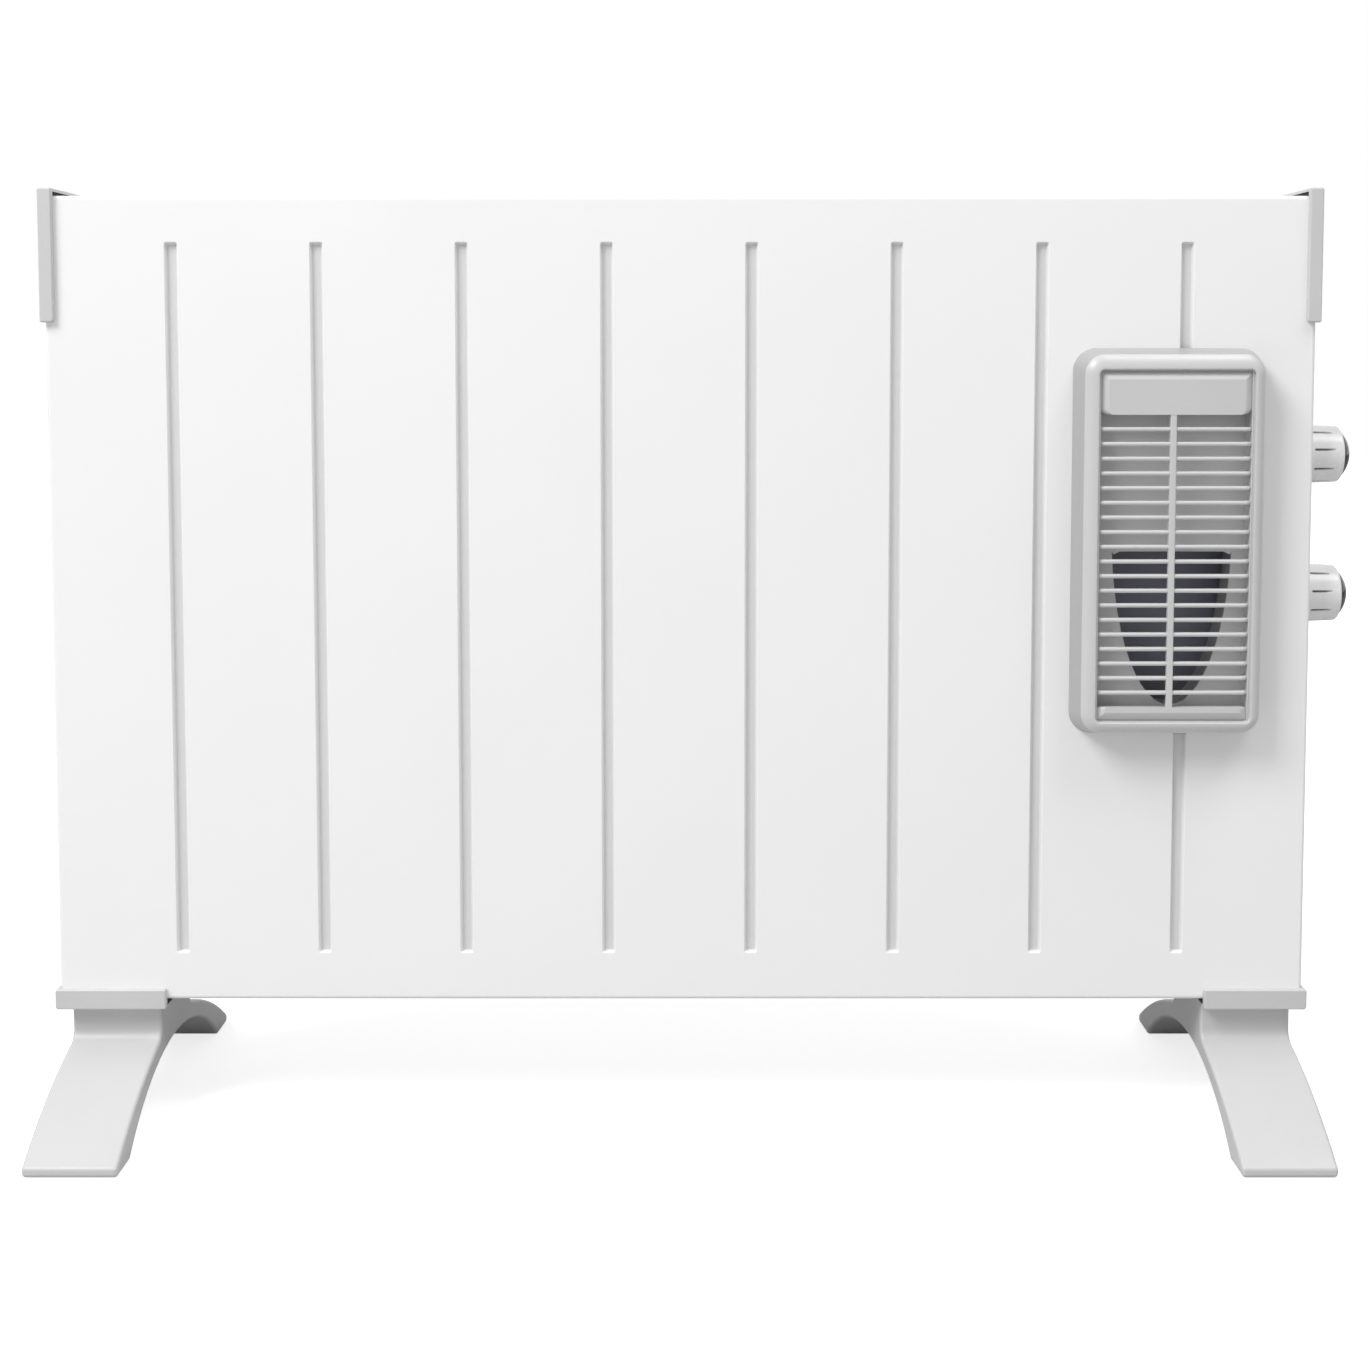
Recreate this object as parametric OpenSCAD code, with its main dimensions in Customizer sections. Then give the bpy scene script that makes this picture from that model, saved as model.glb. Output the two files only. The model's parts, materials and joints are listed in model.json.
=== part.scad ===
// Free-standing convector heater with a blower. X right, Y to the rear, Z up, floor at Z = 0.

/* [Case] */
// Width of the sheet-steel case
case_w = 612; // [600:2:680]
// Height of the case from its bottom edge to its top edge
case_h = 393.4; // [390:0.2:430]
// Depth of the case from its front face to its rear face
case_d = 62.5; // [62:0.5:72]
// Height of the case's bottom edge above the floor
case_z = 59; // [58:0.5:70]
// Thickness of the case's sheet steel
sheet_t = 1; // [0.8:0.1:1.2]
// Depth of the flange folded round each panel
flange_d = 7; // [6:0.5:7.5]
// Corner radius of the panels
panel_r = 2; // [1:0.5:3]
// Width of the flanges folded on the side panels and the partition
tab_w = 12; // [10:0.5:14]
// Clearance between fixed pieces that slot into each other
fit_gap = 0.3; // [0.2:0.05:0.4]

/* [Grooves] */
// Number of vertical grooves in the front panel
groove_n = 8; // [6:1:8]
// Distance between groove centres
groove_pitch = 69.8; // [64:0.2:71]
// Width of a groove at the panel's face
groove_w = 6; // [5:0.5:7]
// Slope of each groove side, across the groove
groove_draft = 0.7; // [0.3:0.1:1]
// Depth of a groove
groove_depth = 2.5; // [1.5:0.25:2.75]
// Distance from the case's bottom edge to the grooves' lower ends
groove_low = 23.6; // [16:0.2:40]
// Distance from the grooves' upper ends to the case's top edge
groove_high = 22.3; // [16:0.1:40]
// Sideways shift of the row of grooves
groove_shift = -0.65; // [-2:0.05:2]

/* [Vents] */
// Width of a slot in the top and bottom grilles
vent_w = 5; // [3:0.5:6]
// Distance between slots in the top and bottom grilles
vent_pitch = 9; // [8:0.5:12]
// Length of a slot in the top and bottom grilles
vent_l = 38; // [30:1:42]
// Length of an intake slot in the rear panel
intake_l = 30; // [20:1:34]
// Height of an intake slot in the rear panel
intake_h = 4; // [3:0.5:5]
// Distance between intake columns
intake_pitch = 38; // [37:1:44]
// Distance between intake rows
intake_row = 9; // [7:0.5:12]
// Number of intake columns
intake_cols = 11; // [8:1:11]
// Number of intake rows in each band
intake_rows = 4; // [2:1:5]
// Distance from the case's bottom edge to the lowest intake row
intake_low = 26; // [20:1:40]

/* [Corner clips] */
// Height of a clip
clip_h = 64.2; // [60:0.2:70]
// Width of the clip's lip on the face of the case
clip_lip_w = 5; // [3:0.5:8]
// Thickness of the lip
clip_lip_t = 3; // [2:0.25:4]
// Thickness of the clip's end wall
clip_wall_t = 1.7; // [1.4:0.1:2.5]
// Thickness of the clip's top
clip_top_t = 1.6; // [1.2:0.1:2.4]
// Thickness of the packing under the clip's top
clip_pack_t = 2; // [1:0.1:2.5]
// Depth of the finger recess behind the end wall
recess_d = 22; // [16:1:26]
// Height of the mouth of the finger recess
recess_h = 38; // [30:1:42]
// Height of the hollow behind the upper edge of the mouth
recess_hook = 6; // [3:0.5:7]
// Wall of the finger recess
recess_t = 1.8; // [1.5:0.1:2.4]
// Distance from the clip's lower end to the mouth
recess_rise = 7.6; // [6:0.2:9]

/* [Feet] */
// Length of a foot from front tip to rear tip
foot_l = 205; // [180:1:230]
// Width of the leg
leg_w = 44.2; // [36:0.2:46]
// Distance from the case's side to the leg
leg_inset = 4.2; // [2.6:0.2:7]
// Length of each patch that rests on the floor
contact_l = 20; // [14:1:26]
// Height of the arch under the foot
arch_h = 31; // [24:0.5:34]
// Height of the tip's face
tip_h = 4.5; // [3:0.5:7]
// Distance from the tip to the neck
neck_y = 76.2; // [66:0.2:80]
// Height at which the leg meets the neck
neck_z = 38.2; // [36:0.2:44]
// Rise of the leg's upper side above a straight line
leg_bow = 3.6; // [2:0.2:5]
// Width of the left foot's plate
left_plate_w = 54.4; // [49:0.1:58]
// Width of the right foot's plate
right_plate_w = 50.4; // [49:0.1:58]
// Thickness of the foot's plate
foot_plate_t = 1.2; // [1:0.1:2]
// Thickness of the packing between foot and case
foot_pack_t = 3; // [1.5:0.1:3.5]
// Height of the plate's lip on the face of the case
foot_lip_h = 5.8; // [4:0.2:8]
// Thickness of the plate's lip
foot_lip_t = 3; // [2:0.25:4]
// Thickness of the plate's end wall
foot_wall_t = 1.7; // [1.4:0.1:2]
// Distance between the two screws of a foot
foot_screw_gap = 24; // [20:1:28]

/* [Fan housing] */
// Distance from the case's right side to the housing's centre
fan_inset = 71.1; // [70.5:0.1:76]
// Height of the housing's centre above the case's bottom edge
fan_rise = 226.75; // [218:0.25:240]
// Width of the frame
frame_w = 91.5; // [90:0.5:96]
// Height of the frame
frame_h = 187.5; // [184:0.5:192]
// Distance that the frame stands out from the panel
frame_proud = 18; // [15:0.5:22]
// Corner radius of the frame
frame_r = 11; // [10:0.5:14]
// Rounding of the frame's front edge
frame_round = 9; // [6:0.5:9.5]
// Width of the window in the frame
window_w = 72.5; // [70:0.5:73]
// Height of the window in the frame
window_h = 168.8; // [160:0.2:169]
// Corner radius of the window
window_r = 2.5; // [1:0.5:4]
// Distance that the window lies below the frame's centre
window_drop = 0.85; // [0:0.05:1]
// Distance from the window to the panel's cut-out behind it
cutout_rim = 1.75; // [1.5:0.25:2]

/* [Grille] */
// Seam between grille and frame
seam_gap = 1; // [0.6:0.1:1.4]
// Distance from the frame's front face back to the grille's pad
pad_back = 0.8; // [0:0.2:2]
// Height of the pad at the top
pad_h = 21.2; // [14:0.2:26]
// Height of the wedge at the bottom
wedge_h = 7; // [5:0.2:10]
// Slope of the pad's and the wedge's edges
bevel = 4; // [2:0.5:5]
// Thickness of a slat
slat_t = 2; // [1.4:0.1:3]
// Depth of a slat
slat_d = 3; // [2:0.25:4]
// Distance between slats
slat_pitch = 7.02; // [6:0.02:9]
// Width of the centre bar
bar_w = 3; // [2:0.5:5]
// Sideways shift of the centre bar
bar_shift = -0.4; // [-2:0.1:2]
// Depth of the grille behind its front face
grille_d = 7; // [6:0.5:8]

/* [Blower] */
// Distance that the blower's front wall stands out from the panel's face
wall_proud = 4.75; // [3:0.25:6]
// Depth of the blower's casing
blower_d = 28; // [27:0.5:29]
// Wall of the blower's casing
blower_t = 1.6; // [1.2:0.1:2]
// Width of the outlet at its top
outlet_w = 57.8; // [50:0.2:60]
// Height of the outlet
outlet_h = 74.8; // [60:0.2:78]
// Distance from the window's lower edge to the outlet's lowest point
outlet_rise = 6.2; // [4:0.2:10]
// Sideways shift of the outlet
outlet_shift = 2.1; // [0:0.1:2.5]
// Height of the half ellipse that shapes the outlet
outlet_ellipse = 85; // [80:1:100]
// Depth of the outlet duct
duct_d = 15; // [10:0.5:18]
// Height of the fan's axis above the window's lower edge
axis_rise = 117.5; // [115:0.5:122]
// Radius of the impeller
impeller_r = 28; // [24:0.5:29]
// Inner radius of the impeller's blades
blade_in_r = 20; // [18:0.5:22]
// Length of the impeller along its axis
impeller_l = 20.5; // [16:0.5:22]
// Number of blades
blade_n = 24; // [16:1:32]
// Thickness of a blade and of the impeller's discs
blade_t = 1.4; // [1:0.1:2]
// Radius of the scroll round the impeller
scroll_r = 33; // [31:0.5:34]
// Radius of the blower's air inlet
inlet_r = 20; // [16:0.5:21]

/* [Motor] */
// Radius of the motor's shaft
shaft_r = 1.6; // [1.5:0.1:2.5]
// Radial clearance of a shaft in its bush
run_gap = 0.05; // [0.03:0.01:0.08]
// Radius of the rotor
rotor_r = 14; // [12:0.5:15]
// Air gap between rotor and stator
air_gap = 0.4; // [0.3:0.05:0.6]
// Thickness of the stator's stack
stack_t = 12; // [10:0.5:14]
// Height of the stator
stator_h = 50; // [48:1:56]
// Distance from the motor's axis to the stator's far side
stator_far = 36; // [34:0.5:37]
// Distance from the motor's axis to the stator's near side
stator_near = 20; // [18:0.5:24]
// Thickness of the coil round the stator's limb
coil_t = 7; // [5:0.5:8]
// Height of the coil
coil_h = 21; // [16:0.5:24]
// Thickness of the motor's brackets
bracket_t = 1.5; // [1.2:0.1:2]
// Radius of a bush
bush_r = 4; // [3.5:0.25:5]

/* [Controls] */
// Height of the lower knob's axis above the case's bottom edge
knob_rise = 198.1; // [190:0.5:206]
// Distance between the knobs' axes
knob_pitch = 69.6; // [60:0.2:76]
// Radius of a knob at its base
knob_r = 14.6; // [13.5:0.1:17]
// Taper of a knob's radius towards its rim
knob_taper = 0.7; // [0.2:0.1:1]
// Length of a knob without its cap's dome
knob_l = 20; // [18:0.5:24]
// Rounding of a knob's rim
knob_round = 2.7; // [1:0.1:2.8]
// Height of the cap's dome
dome_h = 6; // [4:0.5:7]
// Radius of the cap
cap_r = 12.2; // [10:0.2:12.4]
// Depth that the cap sits in the knob
cap_seat = 2; // [1.5:0.25:3]
// Gap between a knob and the control plate
knob_gap = 0.6; // [0.4:0.1:1]
// Wall of a knob
knob_wall = 2; // [1.5:0.1:2.5]
// Number of grip grooves round a knob
grip_n = 9; // [6:1:12]
// Radius of a grip groove
grip_r = 0.8; // [0.4:0.1:1.2]
// Length of a grip groove
grip_l = 9.5; // [6:0.5:11]
// Distance from a knob's base to its grip grooves
grip_start = 5.8; // [4:0.2:7]
// Angle of the upper knob's first grip groove
upper_phase = 11.7; // [0:0.1:40]
// Angle of the lower knob's first grip groove
lower_phase = 9; // [0:0.1:40]
// Radius of a control spindle
spindle_r = 3; // [2.5:0.1:3.5]
// Radius of the threaded neck round a spindle
neck_r = 4.5; // [4:0.1:5]
// Thickness of a control's fixing nut
nut_t = 2.5; // [2:0.1:2.7]
// Width and height of a control's body
control_w = 30; // [26:0.5:32]
// Depth of a control's body
control_l = 20; // [16:0.5:20]
// Thickness of the control plate
control_t = 1.6; // [1.4:0.1:2]
// Distance from the case's bottom edge to the control plate
control_low = 107; // [100:1:120]

/* [Heating] */
// Height of the elements' axes above the case's bottom edge
element_rise = 56; // [50:1:70]
// Distance of each element's axis from the middle of the case
element_y = 12; // [11:0.5:13]
// Radius of an element's core
core_r = 5; // [4:0.25:6]
// Reach of an element's fins
fin_reach = 9; // [7:0.25:9.5]
// Thickness of a fin
fin_t = 1.6; // [1:0.1:2.5]
// Distance from the partition to the elements' near ends
element_gap = 27.5; // [26.5:0.5:34]
// Distance from the left side panel to the elements' far ends
element_far = 42; // [34:0.5:60]
// Radius of an end insulator
insulator_r = 8; // [7:0.25:9]
// Thickness of an end insulator's flange
insulator_t = 4; // [3:0.5:5]
// Length of an end insulator's neck
insulator_neck = 6; // [4:0.5:7]
// Radius of the hole that holds an insulator's neck
bracket_hole_r = 6; // [5.5:0.25:6.5]
// Length of a terminal pin
pin_l = 6; // [4:0.5:7]
// Radius of a terminal pin
pin_r = 2; // [1.5:0.1:2.5]
// Distance from the case's centre to the partition
partition_x = 160; // [150:0.5:164]
// Distance from the case's bottom edge to the reflector
reflector_low = 20; // [14:1:30]
// Height of the reflector
reflector_h = 120; // [80:5:160]
// Distance from the front panel's face to the reflector
reflector_y = 7.4; // [6.5:0.1:7.8]

/* [Wiring] */
// Radius of an insulated wire
wire_r = 1.5; // [1:0.1:2]
// Bend radius of a wire
wire_bend = 10; // [8:0.5:12]
// Radius of the thermal cut-out
cutout_disc_r = 8; // [6:0.5:10]
// Height of the thermal cut-out
cutout_disc_t = 8; // [6:0.5:9]
// Rise of the thermal cut-out above the elements
cutout_rise = 40; // [30:1:60]
// Length of the terminal block
block_l = 30; // [24:1:34]
// Width of the terminal block
block_w = 16; // [14:0.5:20]
// Height of the terminal block
block_h = 16; // [12:0.5:20]
// Bore of the cable gland
gland_bore_r = 3.75; // [3:0.25:4.5]
// Wall of the cable gland's neck
gland_wall = 2.4; // [2:0.1:3]
// Radius of the cable gland's flange
gland_flange_r = 10; // [9:0.25:12]
// Thickness of the cable gland's flange
gland_flange_t = 3.5; // [2:0.25:5]
// Length of the cable gland inside the case
gland_in_l = 10; // [8:0.5:12]
// Thickness of the gland's nut
gland_nut_t = 4; // [3:0.25:5]
// Distance of the cable gland from the housing's centre line
gland_shift = 20; // [10:1:30]
// Height of the cable gland above the case's bottom edge
gland_rise = 36; // [30:1:60]

/* [Screws] */
// Radius of a case screw's shank
screw_r = 1.7; // [1.4:0.1:2]
// Radius of a case screw's head
screw_head_r = 3.2; // [2.8:0.1:3.6]
// Height of a case screw's head
screw_head_h = 1.8; // [1.4:0.1:2.2]
// Length of a case screw's shank
screw_l = 6; // [4:0.5:6.5]
// Radius of a foot screw's shank
foot_screw_r = 2; // [1.6:0.1:2.4]
// Radius of a foot screw's head
foot_head_r = 4; // [3.5:0.1:4.5]
// Height of a foot screw's head
foot_head_h = 2.6; // [2:0.1:3]
// Clearance round a screw in its hole
screw_gap = 0.2; // [0.1:0.05:0.3]
// Length of a blower screw
blower_screw_l = 10; // [8:0.5:11]
// Height of the lowest rear screws above the case's bottom edge
rear_screw_low = 30; // [26:1:36]
// Distance from the clips down to the highest rear screws
rear_screw_high = 12; // [10:1:18]
// Height of the partition's lower screw above the case's bottom edge
partition_screw_low = 60; // [50:1:80]
// Distance from the case's top edge down to the partition's upper screw
partition_screw_high = 70; // [60:1:90]
// Height of the counterbore's roof below a foot's plate, where a foot screw's head seats
foot_screw_sink = 7; // [6:0.5:9]
// Thickness of a foot screw's nut
foot_nut_t = 3; // [2.5:0.25:3.5]
// Length of a foot screw past its nut
foot_screw_out = 2; // [1:0.5:3]

/* [Hidden] */
$fn = 48;
eps = 0.01;
pack_margin = 0.5;

// Case planes
half_w = case_w / 2;
case_top = case_z + case_h;
front_y = -case_d / 2;
rear_y = case_d / 2;
case_mid_z = case_z + case_h / 2;
floor_in_z = case_z + 2 * sheet_t;
roof_in_z = case_top - 2 * sheet_t;
side_in_x = half_w - 2 * sheet_t;
inner_y = case_d / 2 - sheet_t;
flange_in_y = case_d / 2 - flange_d;
tab_in_y = inner_y - sheet_t;

// Clip planes
clip_top_z = case_top + clip_pack_t + clip_top_t;
clip_low_z = clip_top_z - clip_h;
clip_out_x = half_w + clip_wall_t;
recess_y = flange_in_y - fit_gap;
recess_low_z = clip_low_z + recess_rise;

// Fan housing planes
fan_x = half_w - fan_inset;
frame_z = case_z + fan_rise;
window_z = frame_z - window_drop;
window_low_z = window_z - window_h / 2;
frame_front_y = front_y - frame_proud;
cutout_w = window_w + 2 * cutout_rim;
cutout_h = window_h + 2 * cutout_rim;
blower_w = cutout_w - 2 * fit_gap;
blower_h = cutout_h - 2 * fit_gap;
blower_r = window_r + cutout_rim - fit_gap;
wall_y = front_y - wall_proud;
blower_back_y = wall_y + blower_d;
plate_back_y = blower_back_y + blower_t;
frame_screw_x = (frame_w + cutout_w) / 4;
frame_screw_z = frame_h / 2 - frame_r - window_drop - screw_head_r;
ear_w = 2 * (screw_head_r + 1);
ear_t = 2;
corner_boss_r = 3.2;
corner_boss_x = blower_w / 2 - blower_t - corner_boss_r + 1;
corner_boss_z = blower_h / 2 - blower_t - corner_boss_r + 1;
corner_screw_r = 1.2;

// Grille planes
grille_w = window_w - 2 * seam_gap;
grille_h = window_h - 2 * seam_gap;
grille_front_y = frame_front_y + pad_back;
pad_low_z = window_z + grille_h / 2 - pad_h;
wedge_top_z = window_z - grille_h / 2 + wedge_h;
slat_n = floor((pad_low_z - wedge_top_z) / slat_pitch - 0.5);
slat_top_z = (pad_low_z + wedge_top_z + (slat_n - 1) * slat_pitch) / 2;
rail_t = 2;
post_t = 3;

// Fan and motor planes
axis_z = window_low_z + axis_rise;
outlet_low_z = window_low_z + outlet_rise;
outlet_top_z = outlet_low_z + outlet_h;
impeller_back_y = blower_back_y - 2.5;
impeller_front_y = impeller_back_y - impeller_l;
stator_y = plate_back_y + coil_t + fit_gap;
rear_post_l = 4;
rear_bracket_y = stator_y + stack_t + rear_post_l;
post_z = stator_h / 2 - 6;
post_r = 3.5;
bracket_w = 14;
motor_screw_r = 1.5;
motor_head_r = motor_screw_r + 1.5;
bracket_screw_z = max(inlet_r + 4, post_z + post_r + motor_head_r + fit_gap);
limb_in = rotor_r + air_gap + 4;
bush_l = 5;
shaft_front_y = impeller_front_y + blade_t + 1;
shaft_rear_y = rear_bracket_y + bracket_t + 1.5;

// Control planes
side_face_x = half_w - sheet_t;
control_face_x = side_face_x + control_t;
control_high_z = clip_low_z - fit_gap;
knob_x = control_face_x + knob_gap;
lower_knob_z = case_z + knob_rise;
upper_knob_z = lower_knob_z + knob_pitch;
rim_r = knob_r - knob_taper;
cavity_l = knob_gap + nut_t + 1.2;
knob_bore_l = knob_l - cap_seat - knob_wall - cavity_l;
neck_end_x = control_face_x + nut_t + 0.5;
control_in_x = side_in_x - control_l;
knob_tip_x = knob_x + knob_l + dome_h;
plate_screw_inset = 7;

// Heating planes
element_z = case_z + element_rise;
element_right_x = partition_x - element_gap;
element_left_x = -side_in_x + element_far;
bracket_top_z = element_z + insulator_r + 4;

// Foot planes
foot_plate_z = case_z - foot_pack_t - foot_plate_t;
leg_out_x = half_w - leg_inset;
leg_mid_x = leg_out_x - leg_w / 2;
tip_y = foot_l / 2;
neck_half_y = tip_y - neck_y;
arch_half = tip_y - contact_l;
arch_r = (arch_half * arch_half + arch_h * arch_h) / (2 * arch_h);
foot_head_z = foot_plate_z - foot_screw_sink;

// Wiring planes
partition_face_x = partition_x + sheet_t;
disc_z = element_z + cutout_rise;
block_x = fan_x - gland_shift - block_l / 2;
gland_x = fan_x - gland_shift;
gland_z = case_z + gland_rise;
gland_neck_r = gland_bore_r + gland_wall;
riser_x = control_in_x + 8;
feed_x = control_in_x + 12;
wire_turn_x = partition_face_x + 14;
link_t = 1;

// The row's origin stands on the floor under the middle of the whole heater
origin_x = (knob_tip_x - clip_out_x) / 2;

// Points of an arc about [cx, cy] from angle a0 to a1
function arc(cx, cy, r, a0, a1, n) =
    [for (i = [0:n]) [cx + r * cos(a0 + (a1 - a0) * i / n), cy + r * sin(a0 + (a1 - a0) * i / n)]];

// Centre of groove number i
function groove_x(i) = groove_shift + (i - (groove_n - 1) / 2) * groove_pitch;

module in_frame() {
    translate([-origin_x, 0, 0]) children();
}

// Flat shapes are drawn as X and Z, or as Y and Z, and given a thickness
module sheet_xz(y, t) {
    translate([0, y + t, 0]) rotate([90, 0, 0]) linear_extrude(t) children();
}

module sheet_yz(x, t) {
    translate([x, 0, 0]) rotate([90, 0, 90]) linear_extrude(t) children();
}

module rod_x(x0, x1, r) {
    translate([x0, 0, 0]) rotate([0, 90, 0]) cylinder(h = x1 - x0, r = r);
}

module rod_y(y0, y1, r) {
    translate([0, y0, 0]) rotate([-90, 0, 0]) cylinder(h = y1 - y0, r = r);
}

module rounded(w, h, r) {
    square([w - 2 * r, h], center = true);
    square([w, h - 2 * r], center = true);
    for (sx = [-1, 1], sz = [-1, 1]) {
        translate([sx * (w / 2 - r), sz * (h / 2 - r)]) circle(r);
    }
}

module slot(l, w) {
    square([l - w, w], center = true);
    for (s = [-1, 1]) translate([s * (l - w) / 2, 0]) circle(w / 2, $fn = 24);
}

module both_sides() {
    children();
    mirror([1, 0, 0]) children();
}

module both_faces() {
    children();
    mirror([0, 1, 0]) children();
}

// Screw along Z with its head above zero and a cross recess in it
module screw(head_r, head_h, shank_r, l) {
    difference() {
        union() {
            cylinder(h = head_h, r = head_r);
            translate([0, 0, -l]) cylinder(h = l, r = shank_r);
        }
        for (a = [0, 90]) {
            rotate(a) translate([0, 0, head_h]) cube([head_r * 1.2, head_r * 0.25, head_h], center = true);
        }
    }
}

// Case panels

module panel_tray() {
    difference() {
        translate([0, 0, case_mid_z]) sheet_xz(front_y, flange_d) rounded(case_w, case_h, panel_r);
        translate([0, 0, case_mid_z]) sheet_xz(front_y + sheet_t, flange_d)
            square([case_w - 2 * sheet_t, case_h - 2 * sheet_t], center = true);
    }
}

module groove_shape(w, depth) {
    floor_w = w - 2 * groove_draft;
    polygon([[-w / 2, 0], [w / 2, 0], [floor_w / 2, depth], [-floor_w / 2, depth]]);
}

module groove_run(y, w, depth, margin) {
    low = case_z + groove_low - margin;
    high = case_top - groove_high + margin;
    for (i = [0:groove_n - 1]) {
        translate([groove_x(i), y, low]) linear_extrude(high - low) groove_shape(w, depth);
    }
}

// Places where a groove that meets an ear of the blower's casing is left flat
module ear_seats(grow) {
    in_x = blower_w / 2 - 1;
    out_x = frame_screw_x + ear_w / 2 + fit_gap + grow;
    seat_h = ear_w + 2 * (fit_gap + grow);
    for (sx = [-1, 1], sz = [-1, 1]) {
        translate([fan_x + sx * (in_x + out_x) / 2, front_y + flange_d / 2, window_z + sz * frame_screw_z])
            cube([out_x - in_x, flange_d + 2, seat_h], center = true);
    }
}

module front_panel() {
    color("#f4f4f4") difference() {
        union() {
            panel_tray();
            difference() {
                groove_run(front_y + sheet_t / 2, groove_w + 2 * sheet_t, groove_depth + sheet_t / 2, sheet_t);
                ear_seats(0);
            }
        }
        difference() {
            groove_run(front_y - eps, groove_w, groove_depth, 0);
            ear_seats(sheet_t);
        }
        translate([fan_x, 0, window_z]) sheet_xz(front_y - 1, flange_d + 2)
            rounded(cutout_w, cutout_h, window_r + cutout_rim);
        frame_screw_spots() rod_y(front_y - 1, front_y + 2, screw_r + screw_gap);
    }
}

module intake_band(low_z) {
    for (i = [0:intake_cols - 1], j = [0:intake_rows - 1]) {
        x = (i - (intake_cols - 1) / 2) * intake_pitch + (partition_x - side_in_x) / 2;
        translate([x, 0, low_z + j * intake_row]) sheet_xz(rear_y - 2, 4) slot(intake_l, intake_h);
    }
}

module rear_panel() {
    color("#ececec") difference() {
        mirror([0, 1, 0]) panel_tray();
        intake_band(case_z + intake_low);
        intake_band(case_top - intake_low - (intake_rows - 1) * intake_row);
        for (j = [-3:3]) {
            translate([fan_x, 0, axis_z + j * intake_row]) sheet_xz(rear_y - 2, 4) slot(2 * intake_l, intake_h);
        }
        rear_screw_spots() rod_y(rear_y - 2, rear_y + 1, screw_r + screw_gap);
        translate([gland_x, 0, gland_z]) rod_y(rear_y - 2, rear_y + 1, gland_neck_r + screw_gap);
    }
}

module vent_slots(reach, z) {
    n = floor(reach / vent_pitch);
    for (i = [-n:n]) {
        translate([i * vent_pitch, 0, z - 1]) linear_extrude(sheet_t + 2) rotate(90) slot(vent_l, vent_w);
    }
}

module top_grille() {
    grille_z = case_top - 2 * sheet_t;
    color("#f0f0f0") difference() {
        translate([0, 0, grille_z + sheet_t / 2])
            cube([2 * side_in_x, 2 * (tab_in_y - fit_gap), sheet_t], center = true);
        vent_slots(half_w - recess_d - tab_w, grille_z);
    }
}

module bottom_grille() {
    grille_z = case_z + sheet_t;
    color("#e4e4e4") difference() {
        translate([0, 0, grille_z + sheet_t / 2])
            cube([2 * (side_in_x - fit_gap), 2 * (tab_in_y - fit_gap), sheet_t], center = true);
        vent_slots(leg_mid_x - leg_w / 2 - tab_w, grille_z);
        both_sides() foot_screw_spots() cylinder(h = case_top, r = foot_screw_r + screw_gap);
    }
}

module side_panel() {
    low_z = case_z + sheet_t;
    high_z = recess_low_z - recess_t - fit_gap;
    translate([side_in_x, -inner_y, low_z]) cube([sheet_t, 2 * inner_y, high_z - low_z]);
    both_faces() translate([side_in_x - tab_w, tab_in_y, low_z]) cube([tab_w + eps, sheet_t, high_z - low_z]);
}

module side_panel_left() {
    color("#efefef") difference() {
        mirror([1, 0, 0]) side_panel();
        rear_screw_spots() rod_y(0, rear_y, screw_r + screw_gap);
    }
}

module side_panel_right() {
    color("#efefef") difference() {
        side_panel();
        rear_screw_spots() rod_y(0, rear_y, screw_r + screw_gap);
        knob_spots() rod_x(side_in_x - 1, half_w, neck_r + screw_gap);
        plate_screw_spots() rod_x(side_in_x - 1, half_w, screw_r + screw_gap);
    }
}

module control_plate() {
    low_z = case_z + control_low;
    color("#e9e9e9") difference() {
        translate([0, 0, (low_z + control_high_z) / 2]) sheet_yz(side_face_x, control_t)
            rounded(2 * recess_y, control_high_z - low_z, 1.5);
        knob_spots() rod_x(half_w - 4, half_w + 4, neck_r + screw_gap);
        plate_screw_spots() rod_x(half_w - 4, half_w + 4, screw_r + screw_gap);
    }
}

module partition_plate() {
    y0 = front_y + sheet_t + groove_depth + fit_gap;
    color("#c9cccf") difference() {
        union() {
            translate([partition_x, y0, floor_in_z]) cube([sheet_t, inner_y - y0, roof_in_z - floor_in_z]);
            translate([partition_x - tab_w, tab_in_y, floor_in_z])
                cube([tab_w + eps, sheet_t, roof_in_z - floor_in_z]);
        }
        rear_screw_spots() rod_y(0, rear_y, screw_r + screw_gap);
        for (s = [-1, 1]) {
            translate([0, s * element_y, element_z]) rod_x(partition_x - 1, partition_x + 3, 2 * wire_r);
        }
    }
}

// Corner clips, which are the carrying handles

module handle_clip() {
    mouth_z = recess_low_z + recess_h / 2;
    hollow_h = recess_h + recess_hook;
    hollow_z = recess_low_z + hollow_h / 2;
    clip_y = case_d / 2 + clip_lip_t;
    clip_mid_z = clip_low_z + clip_h / 2;
    difference() {
        union() {
            translate([0, 0, clip_mid_z]) sheet_yz(half_w, clip_wall_t) rounded(2 * clip_y, clip_h, 1.5);
            both_faces() translate([half_w - clip_lip_w, -clip_y, clip_low_z])
                cube([clip_lip_w + clip_wall_t / 2, clip_lip_t, clip_h]);
            translate([half_w - clip_lip_w, -clip_y, clip_top_z - clip_top_t])
                cube([clip_lip_w + clip_wall_t / 2, 2 * clip_y, clip_top_t]);
            translate([half_w - recess_d - recess_t, -recess_y, recess_low_z - recess_t])
                cube([recess_d + recess_t + clip_wall_t / 2, 2 * recess_y, hollow_h + 2 * recess_t]);
        }
        translate([0, 0, hollow_z]) sheet_yz(half_w - recess_d, recess_d)
            rounded(2 * (recess_y - recess_t), hollow_h, 3);
        translate([0, 0, mouth_z]) sheet_yz(half_w - recess_d, recess_d + clip_wall_t + 1)
            rounded(2 * (recess_y - recess_t), recess_h, 3);
    }
}

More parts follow.
